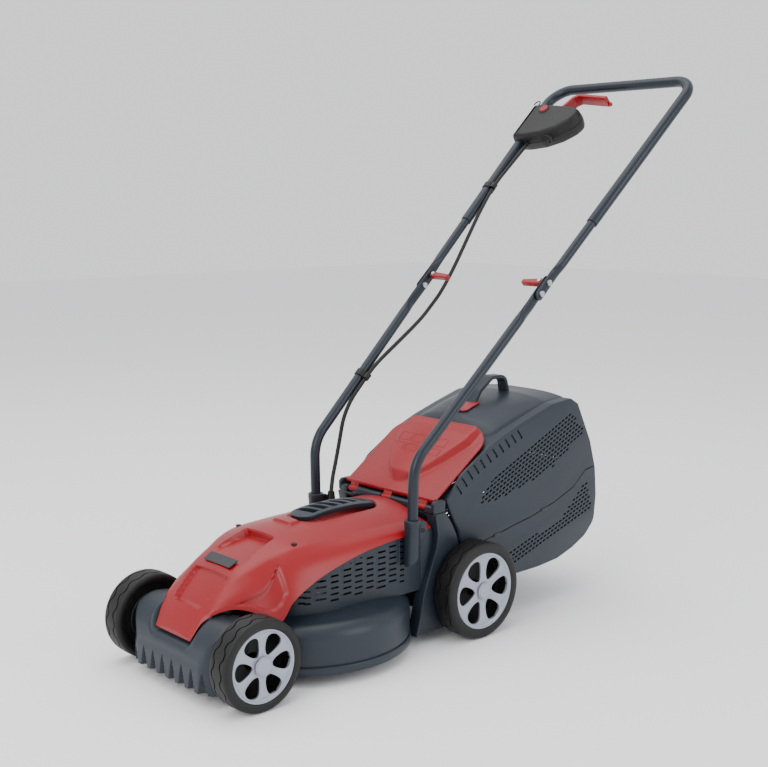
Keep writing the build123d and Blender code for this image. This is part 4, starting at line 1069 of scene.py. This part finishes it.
def boolean(obj, other, operation):
    """One boolean step between two closed meshes."""
    reshape(obj, [("BOOLEAN", {"object": other, "operation": operation, "solver": "EXACT",
                               "use_self": False})])


def drop(*objects):
    """Removes working objects."""
    for obj in objects:
        bpy.data.objects.remove(obj, do_unlink=True)


def box_half(name, upper):
    """The upper or lower half of the grass box."""
    shell = loose(name, slab(box_line, -BOX_HALF, BOX_HALF, on_side, soft=4, steps=3))
    void_line = [tuple(p) for p in inset(box_line, -BOX_WALL)]
    void = loose("void", slab(void_line, -BOX_HALF + BOX_WALL, BOX_HALF - BOX_WALL, on_side,
                              soft=3, steps=2))
    boolean(shell, void, "DIFFERENCE")
    gap = SEAM_GAP if upper else -SEAM_GAP
    seam = [(y, z + gap) for y, z in SEAM]
    body = seam + [(420, 0), (-120, 0)]
    below = loose("below", slab(body, -150, 150, on_side, soft=0.01, steps=1))
    boolean(shell, below, "DIFFERENCE" if upper else "INTERSECT")
    mouth = loose("mouth", slab([(-80, 150), (-80, 230), (-70, 232), (46, 325), (46, 300),
                                 (10, 260), (10, 150)], -117.8, 117.8, on_side, soft=0.01,
                                steps=1))
    boolean(shell, mouth, "DIFFERENCE")
    bay_line = [(-117.8, -20), (117.8, -20), (117.8, 130), (90, 176), (-90, 176), (-117.8, 130)]
    bay = loose("bay", slab(bay_line, -12, 40, on_flap, soft=0.01, steps=1))
    boolean(shell, bay, "DIFFERENCE")
    batch = loose("slots", join(*cutters))
    boolean(shell, batch, "DIFFERENCE")
    drop(void, below, mouth, bay, batch)
    shell.data.materials.clear()
    shell.data.materials.append(MATERIALS["slate"])
    sharpen(shell.data, 30)
    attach(shell, "grass_box")
    return shell


box_upper = box_half("Grass box upper", True)
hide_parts("grass_box_upper")
box_lower = box_half("Grass box lower", False)
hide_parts("grass_box_lower")
print("grass box faces:", len(box_upper.data.polygons), len(box_lower.data.polygons))

# %% Crowned top of the grass box
top_y = np.array([p[0] for p in BOX_SIDE[:7]], float)
top_z = np.array([p[1] for p in BOX_SIDE[:7]], float)


def crown_half(y):
    """Half width of the crown at y."""
    return 108.0 if y > 75 else 92 + (y - 62) * 1.2


def crown_top(x, y):
    """Height of the crown over (x, y)."""
    t = min(1.0, abs(x) / crown_half(y))
    rise = 26 * float(smooth_step(y, 40, 80) * (1 - 0.65 * smooth_step(y, 120, 262)))
    edge = 3.2 * float(smooth_step(t, 1.0, 0.93))
    return float(np.interp(y, top_y, top_z)) - 4 + rise * (1 - t ** 3) * 0.9 + edge


rows = []
for y in np.linspace(62, 262, 50):
    rows.append([(t * crown_half(y), y, crown_top(t * crown_half(y), y))
                 for t in np.linspace(-1, 1, 61)])
front_skirt = [[(x, y, z - 18 * t) for x, y, z in rows[0]] for t in (0, 1)]
back_skirt = [[(x, y, z - 10 * t) for x, y, z in rows[-1]] for t in (0, 1)]
crown_piece = place("Grass box crown", *join(grid(rows), grid(front_skirt), grid(back_skirt)),
                    "grass_box", "slate", steps=[thick(2.2)], angle=38, slot="box_plastic")
print("crown rows:", len(rows))

# %% Fill indicator
low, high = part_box("fill_indicator")
mid_x = (low.x + high.x) * 500
rows = []
for y in np.linspace(86, 128, 22):
    half = 19 - 4 * float(smooth_step(y, 122, 128)) - 4 * float(smooth_step(y, 92, 86))
    rows.append([(mid_x + t * half, y, crown_top(mid_x + t * half, y) + 2.6)
                 for t in np.linspace(-1, 1, 15)])
indicator = place("Fill indicator", *grid(rows), "indicator", "red",
                  steps=[thick(2.4, 0), rim(0.8)], angle=38)
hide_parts("fill_indicator")
print("indicator x:", round(mid_x, 1))

# %% Box handle and clips
strap = path([(0, 118, 375), (0, 136, 402), (0, 168, 424), (0, 204, 423), (0, 213, 384)], 16, 3)
strap_section = rounded([(-11.5, -3.6), (11.5, -3.6), (11.5, 3.6), (-11.5, 3.6)], 1.6, 3)
box_handle = place("Grass box handle", *sweep(strap, lambda i: strap_section, (0, 0, 1)),
                   "grass_box", "slate", slot="deck_plastic")
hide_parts("box_handle")
clip_parts = []
for side in (-1, 1):
    for y, z in ((60, 163), (188, 188)):
        shape = rounded([(y - 8, z - 5), (y + 8, z - 3), (y + 8, z + 3), (y - 8, z + 1)], 1.5)
        clip_parts.append(slab(shape, *side_span(side, 125, 127.4), on_side, soft=0.8))
    latch = rounded([(337, 226), (351, 230), (352, 256), (337, 262)], 4)
    clip_parts.append(slab(latch, *side_span(side, 82, 110), on_side, soft=2.5))
clips = place("Grass box clips", *join(*clip_parts), "grass_box", "slate", slot="box_plastic")
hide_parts("box_clips")

# %% [markdown]
# ## Handle
# s runs up the slope from the fold bolt and n stands square to the handle's plane. The tubes
# change from a round section to a flat tongue at the fold.

# %% Handle plane
TILT_H = math.radians(43.1)
FOLD_Y, FOLD_Z = 135.6, 592.3
LENGTH = 574.8
UP_N = np.array([0, -math.sin(TILT_H), math.cos(TILT_H)])


def on_handle(x, s, n=0.0):
    """A point of the handle's plane."""
    return (x, FOLD_Y + s * math.cos(TILT_H) - n * math.sin(TILT_H),
            FOLD_Z + s * math.sin(TILT_H) + n * math.cos(TILT_H))


def slope_of(point):
    """The s value of a point near the plane."""
    return (point[1] - FOLD_Y) * math.cos(TILT_H) + (point[2] - FOLD_Z) * math.sin(TILT_H)


# %% Lower tubes
def lower_tube(side):
    """Round stem and slope, pressed flat round the fold."""
    corners = [(side * 127.5, -151, 163), (side * 131, -151, 323), on_handle(side * 147, -30),
               on_handle(side * 147, 40)]
    line = path(corners[:3], 70, 3.5)[:-1]
    line += [np.array(corners[2]) + (np.array(corners[3]) - np.array(corners[2])) * t
             for t in np.linspace(0, 1, 22)]
    start = np.array(line[-24])
    filled = line[:-23]
    filled += [start + (np.array(line[-22]) - start) * t for t in np.linspace(0.02, 1, 40)]
    filled += line[-21:]

    def section(i):
        s = slope_of(filled[i]) if filled[i][2] > 420 else -400
        flat = float(smooth_step(s, -68, -38))
        end = math.sqrt(max(0.02, 1 - max(0, (s - 30) / 10.05) ** 2))
        return ellipse(9.0 - 6.4 * flat, (9.0 + 1.5 * flat) * end, 32)

    return sweep(filled, section, UP_N)


for hand, side in (("right", -1), ("left", 1)):
    tube = place(f"Lower tube {hand}", *lower_tube(side), "deck", "tube", angle=50)
    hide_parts(f"{hand}_lower_tube")

# %% Mid tubes and hoop
JOIN_S = 178.0


def handle_x(s):
    """Half the distance between the splayed tubes."""
    return 152.1 + 0.0415 * s


def mid_tube(side):
    """Tongue at the fold, then a round tube into the hoop."""
    line = []
    for s in np.concatenate([np.linspace(-13, 80, 48), np.linspace(86, 205, 12)]):
        x = 152.4 + (handle_x(s) - 152.4) * float(smooth_step(s, 40, 75))
        line.append(on_handle(side * x, s))

    def section(i):
        s = slope_of(line[i])
        flat = float(1 - smooth_step(s, 44, 72))
        end = math.sqrt(max(0.02, 1 - max(0, (-s - 3) / 10.05) ** 2))
        return ellipse(8.5 - 6.0 * flat, (8.5 + 2.0 * flat) * end, 32)

    return sweep(line, section, UP_N)


mids = place("Mid tubes", *join(mid_tube(-1), mid_tube(1)), "upper_handle", "tube", angle=50)
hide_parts("mid_tubes")
top_x = handle_x(LENGTH)
hoop = path([on_handle(-handle_x(JOIN_S), JOIN_S), on_handle(-top_x, LENGTH),
             on_handle(top_x, LENGTH), on_handle(handle_x(JOIN_S), JOIN_S)], 45, 3.0)
lips = [hoop[0] + (hoop[1] - hoop[0]) * t for t in (0.0, 0.004)]
hoop = lips + hoop[1:]
bar_piece = place("Handle hoop", *sweep(hoop, lambda i: ellipse(10.5, 10.5, 36), UP_N),
                  "upper_handle", "tube", steps=[rim(0.8, 2, 60)], angle=50)
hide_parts("u_bar")
print("hoop points:", len(hoop))

# %% Clamp levers
LEVER_X, LOCK_S = 135.5, 27.0
for hand, side in (("right", -1), ("left", 1)):
    shape = [(LEVER_X + 7, 0), (LEVER_X + 5, 5), (LEVER_X, 7), (LEVER_X - 9, 4.5),
             (LEVER_X - 20, 3.5), (LEVER_X - 40, 1.5), (LEVER_X - 40, -7.5),
             (LEVER_X - 22, -7), (LEVER_X, -7), (LEVER_X + 5, -5)]
    outline = rounded([(side * x, s) for x, s in shape], 2.5, 3)

    def to_plane(x, s, n):
        return on_handle(x, LOCK_S + s, n)
    lever = place(f"Clamp lever {hand}", *slab(outline, -5.4, 5.4, to_plane, soft=1.8),
                  f"clamp_{hand}", "red")
    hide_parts(f"{hand}_clamp_lever")
print("clamp levers: 2")

# %% Switch box
case = [(-183.5, LENGTH - 166), (-150, LENGTH - 168), (-110, LENGTH - 162),
        (-74, LENGTH - 146), (-50, LENGTH - 124), (-42, LENGTH - 103), (-50, LENGTH - 86),
        (-70, LENGTH - 77), (-120, LENGTH - 69), (-165, LENGTH - 63), (-183.5, LENGTH - 66)]
case_line = rounded(case, [8, 30, 40, 30, 22, 22, 22, 30, 40, 14, 8], 6)
top_rings = [(0.3, 0.6), (0.9, 0.0), (6, 0.4), (14, 1.6), (18, 3.0), (20.5, 4.6), (22, 6.6),
             (22.7, 9.5), (22.9, 14)]
base_rings = [(-22.9, 12), (-22, 7), (-20, 4.4), (-16, 2.6), (-8, 0.9), (-1.0, 0.0),
              (-0.3, 0.6)]
case_top = place("Switch box top", *slab(case_line, 0, 1, on_handle, rings=top_rings),
                 "upper_handle", "black", angle=28)
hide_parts("switch_box_top")
case_base = place("Switch box base", *slab(case_line, 0, 1, on_handle, rings=base_rings),
                  "upper_handle", "black", angle=28)
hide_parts("switch_box_base")

# %% Safety button, bail lever, guard loop
def disc_on_handle(x, s, profile, count=48):
    """A (height, radius) profile turned about the plane's normal."""
    rows = [[on_handle(x + r * math.cos(2 * math.pi * k / count),
                       s + r * math.sin(2 * math.pi * k / count), h) for k in range(count)]
            for h, r in profile]
    return grid(rows, wrap=True)


BUTTON_AT = (-141, LENGTH - 86)
button = place("Safety button", *disc_on_handle(
    *BUTTON_AT, [(11, 0.02), (11, 9.9), (24.6, 9.9), (25.9, 9.3), (26.6, 8.0),
                        (26.9, 5.5), (26.6, 2.5), (26.5, 0.02)]), "button", "red")
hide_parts("safety_button")
collar = place("Button collar", *disc_on_handle(
    *BUTTON_AT, [(20, 10.3), (23.6, 10.3), (24.2, 10.9), (24.0, 12.2), (22.4, 13.2),
                        (20, 13.2), (20, 10.3)]), "upper_handle", "black")
blade = path([(-112, LENGTH - 82, 0), (-96, LENGTH - 42, 0), (-82, LENGTH - 34, 0),
              (-4, LENGTH - 48, 0)], 10, 3)
outline = ribbon([(p[0], p[1]) for p in blade], -7.5)
bail = place("Bail lever", *slab(outline, -8, 16, on_handle, soft=1.8), "bail", "red", angle=40)
tip_profile = [(-8.5 + 4.4 * (1 - math.cos(a)), 4.4 * math.sin(a) + 0.02)
               for a in np.linspace(0, math.pi, 12)]
tip = place("Bail tip", *disc_on_handle(-3, LENGTH - 51, tip_profile, 24), "bail", "red")
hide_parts("bail_lever")
loop_line = [on_handle(-176 + 7 * math.cos(a), LENGTH - 64 + 8 * math.sin(a), 20)
             for a in np.linspace(-0.3, math.pi + 0.3, 24)]
loop = place("Cable guard loop", *sweep(loop_line, lambda i: ellipse(1.3, 1.3, 10), UP_N),
             "upper_handle", "black", angle=60)
print("switch box pieces: 6")

# %% Sockets
TUBE_X, SOCKET_Y = 127.5, -151
TUBE_LEAN = 3.5 / 161


def socket_mesh(side):
    """Sleeve with a collar and a slanted foot, and a flange with a screw."""
    rows = []
    for height, r in ((154, 9.3), (154, 13.2), (158, 13.6), (216, 13.6), (217, 14.2),
                      (226, 14.2), (227, 13.4), (227, 9.3), (224, 9.1), (158, 9.1),
                      (154, 9.3)):
        row = []
        for k in range(48):
            a = 2 * math.pi * k / 48
            z = height + (0.9 * r * math.sin(a) + 6 if height < 160 else 0)
            x = side * (TUBE_X + (z - 162) * TUBE_LEAN) + r * math.cos(a)
            row.append((x, SOCKET_Y + r * math.sin(a), z))
        rows.append(row)
    flange = rounded([(-150, 168), (-137, 176), (-123, 190), (-118, 206), (-120, 218),
                      (-131, 223), (-150, 222)], 4)
    screw = revolve([(side * 129.4, 0.02), (side * 130.9, 0.6), (side * 130.9, 2.4),
                     (side * 131.6, 3.0), (side * 131.2, 3.9), (side * 129, 4.2)],
                    (0, -128, 205), "x", 24)
    plate = slab(flange, *side_span(side, 123.5, 130.3), on_side, soft=1.2)
    return join(grid(rows, wrap=True), plate), screw


sleeves = [socket_mesh(side) for side in (-1, 1)]
sockets = place("Handle sockets", *join(*[s[0] for s in sleeves]), "deck", "slate", angle=35)
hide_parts("handle_sockets")
socket_screws = place("Socket screws", *join(*[s[1] for s in sleeves]), "deck", "black")
print("sockets faces:", len(sockets.data.polygons))

# %% [markdown]
# ## Cable
# The cable leaves a gland beside the cover, is clipped to both tubes and ends in the switch box.
# It is one NURBS curve with the route's points as its control points, turned into a mesh.

# %% Cable
ROUTE = [(-109, -131, 230), (-117, -122, 250), (-122, -109, 280), (-123.5, -98, 320),
         (-123.5, -89, 360), (-123, -70, 393), (-124, -38, 424), (-123.5, -10, 452),
         (-127.5, 49, 487), (-132, 116, 528), (-134.4, 149.6, 556.2), (-136, 172, 575),
         (-140, 212, 621), (-143, 257, 685), (-146, 294, 736), (-149, 338, 787),
         (-148, 375, 820), (-146.5, 404, 846), on_handle(-146, 411)]
CABLE_RADIUS, CABLE_LENGTH = 0.00375, 0.881
curve = bpy.data.curves.new("Power cable", "CURVE")
curve.dimensions = "3D"
curve.resolution_u = 10
spline = curve.splines.new("NURBS")
spline.points.add(len(ROUTE) - 1)
for point, (x, y, z) in zip(spline.points, ROUTE):
    point.co = (x * MM, y * MM, z * MM, 1)
spline.order_u = 3
spline.use_endpoint_u = True
line = bpy.data.objects.new("Cable line", curve)
bpy.context.scene.collection.objects.link(line)


def curve_mesh():
    """The cable's curve as a mesh, as its settings stand."""
    bpy.context.view_layer.update()
    depsgraph = bpy.context.evaluated_depsgraph_get()
    return bpy.data.meshes.new_from_object(line.evaluated_get(depsgraph))


middle = [tuple(vertex.co) for vertex in curve_mesh().vertices]
curve.bevel_depth = CABLE_RADIUS
curve.bevel_resolution = 5
curve.use_fill_caps = True
solid = curve_mesh()
drop(line)
solid.materials.clear()
solid.materials.append(MATERIALS["cable"])
sharpen(solid, 60)
cable = bpy.data.objects.new("power_cable", solid)
bpy.context.scene.collection.objects.link(cable)
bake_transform(cable)
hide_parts("cable_lower", "cable_upper")
print("cable points:", len(ROUTE),
      "length:", round(sum(math.dist(a, b) for a, b in zip(middle, middle[1:])), 4))

# %% [markdown]
# ## Stage
# Pale floor and background, soft studio light, and the camera.

# %% Floor, light and camera
FLOOR_HALF = 9.0
floor_mesh = bpy.data.meshes.new("Floor")
ticks = np.linspace(-FLOOR_HALF, FLOOR_HALF, 9)
floor_verts, floor_faces = grid([[(x, y, 0) for x in ticks] for y in ticks])
floor_mesh.from_pydata(floor_verts, [], floor_faces)
floor = bpy.data.objects.new("Floor", floor_mesh)
bpy.context.scene.collection.objects.link(floor)
pale = bpy.data.materials.new("Studio floor")
pale.use_nodes = True
pale_shader = pale.node_tree.nodes["Principled BSDF"]
pale_shader.inputs["Base Color"].default_value = (0.93, 0.93, 0.94, 1)
pale_shader.inputs["Roughness"].default_value = 0.75
floor_mesh.materials.append(pale)

world = bpy.data.worlds.new("Studio")
world.use_nodes = True
backdrop = world.node_tree.nodes["Background"]
backdrop.inputs["Color"].default_value = (0.97, 0.98, 1.0, 1)
backdrop.inputs["Strength"].default_value = 1.15
bpy.context.scene.world = world


def area_light(name, spot, target, power, size_x, size_y, colour=(1, 1, 1)):
    """A soft light that looks at a point."""
    light = bpy.data.lights.new(name, "AREA")
    light.shape = "RECTANGLE"
    light.size, light.size_y = size_x, size_y
    light.energy = power
    light.color = colour
    obj = bpy.data.objects.new(name, light)
    bpy.context.scene.collection.objects.link(obj)
    obj.location = spot
    obj.rotation_euler = (Vector(target) - Vector(spot)).to_track_quat("-Z", "Y").to_euler()
    return obj


area_light("Overhead", (-0.5, -0.4, 3.0), (0, 0, 0.3), 60, 3.0, 3.0)
area_light("Key", (0.6, -3.0, 1.9), (0, -0.1, 0.35), 45, 1.8, 1.8, (1.0, 0.99, 0.97))
area_light("Side", (3.2, 0.9, 1.6), (0, 0.1, 0.3), 38, 1.6, 2.2, (0.96, 0.98, 1.0))

camera_data = bpy.data.cameras.new("Camera")
camera_data.lens = 57.99
camera_data.sensor_width = 36.0
camera = bpy.data.objects.new("Camera", camera_data)
camera.location = (1.59287, -1.53514, 0.76129)
camera.rotation_euler = (math.radians(81.436), 0, math.radians(47.97))
bpy.context.scene.collection.objects.link(camera)
bpy.context.scene.camera = camera
print("lights: 3, lens:", camera_data.lens)
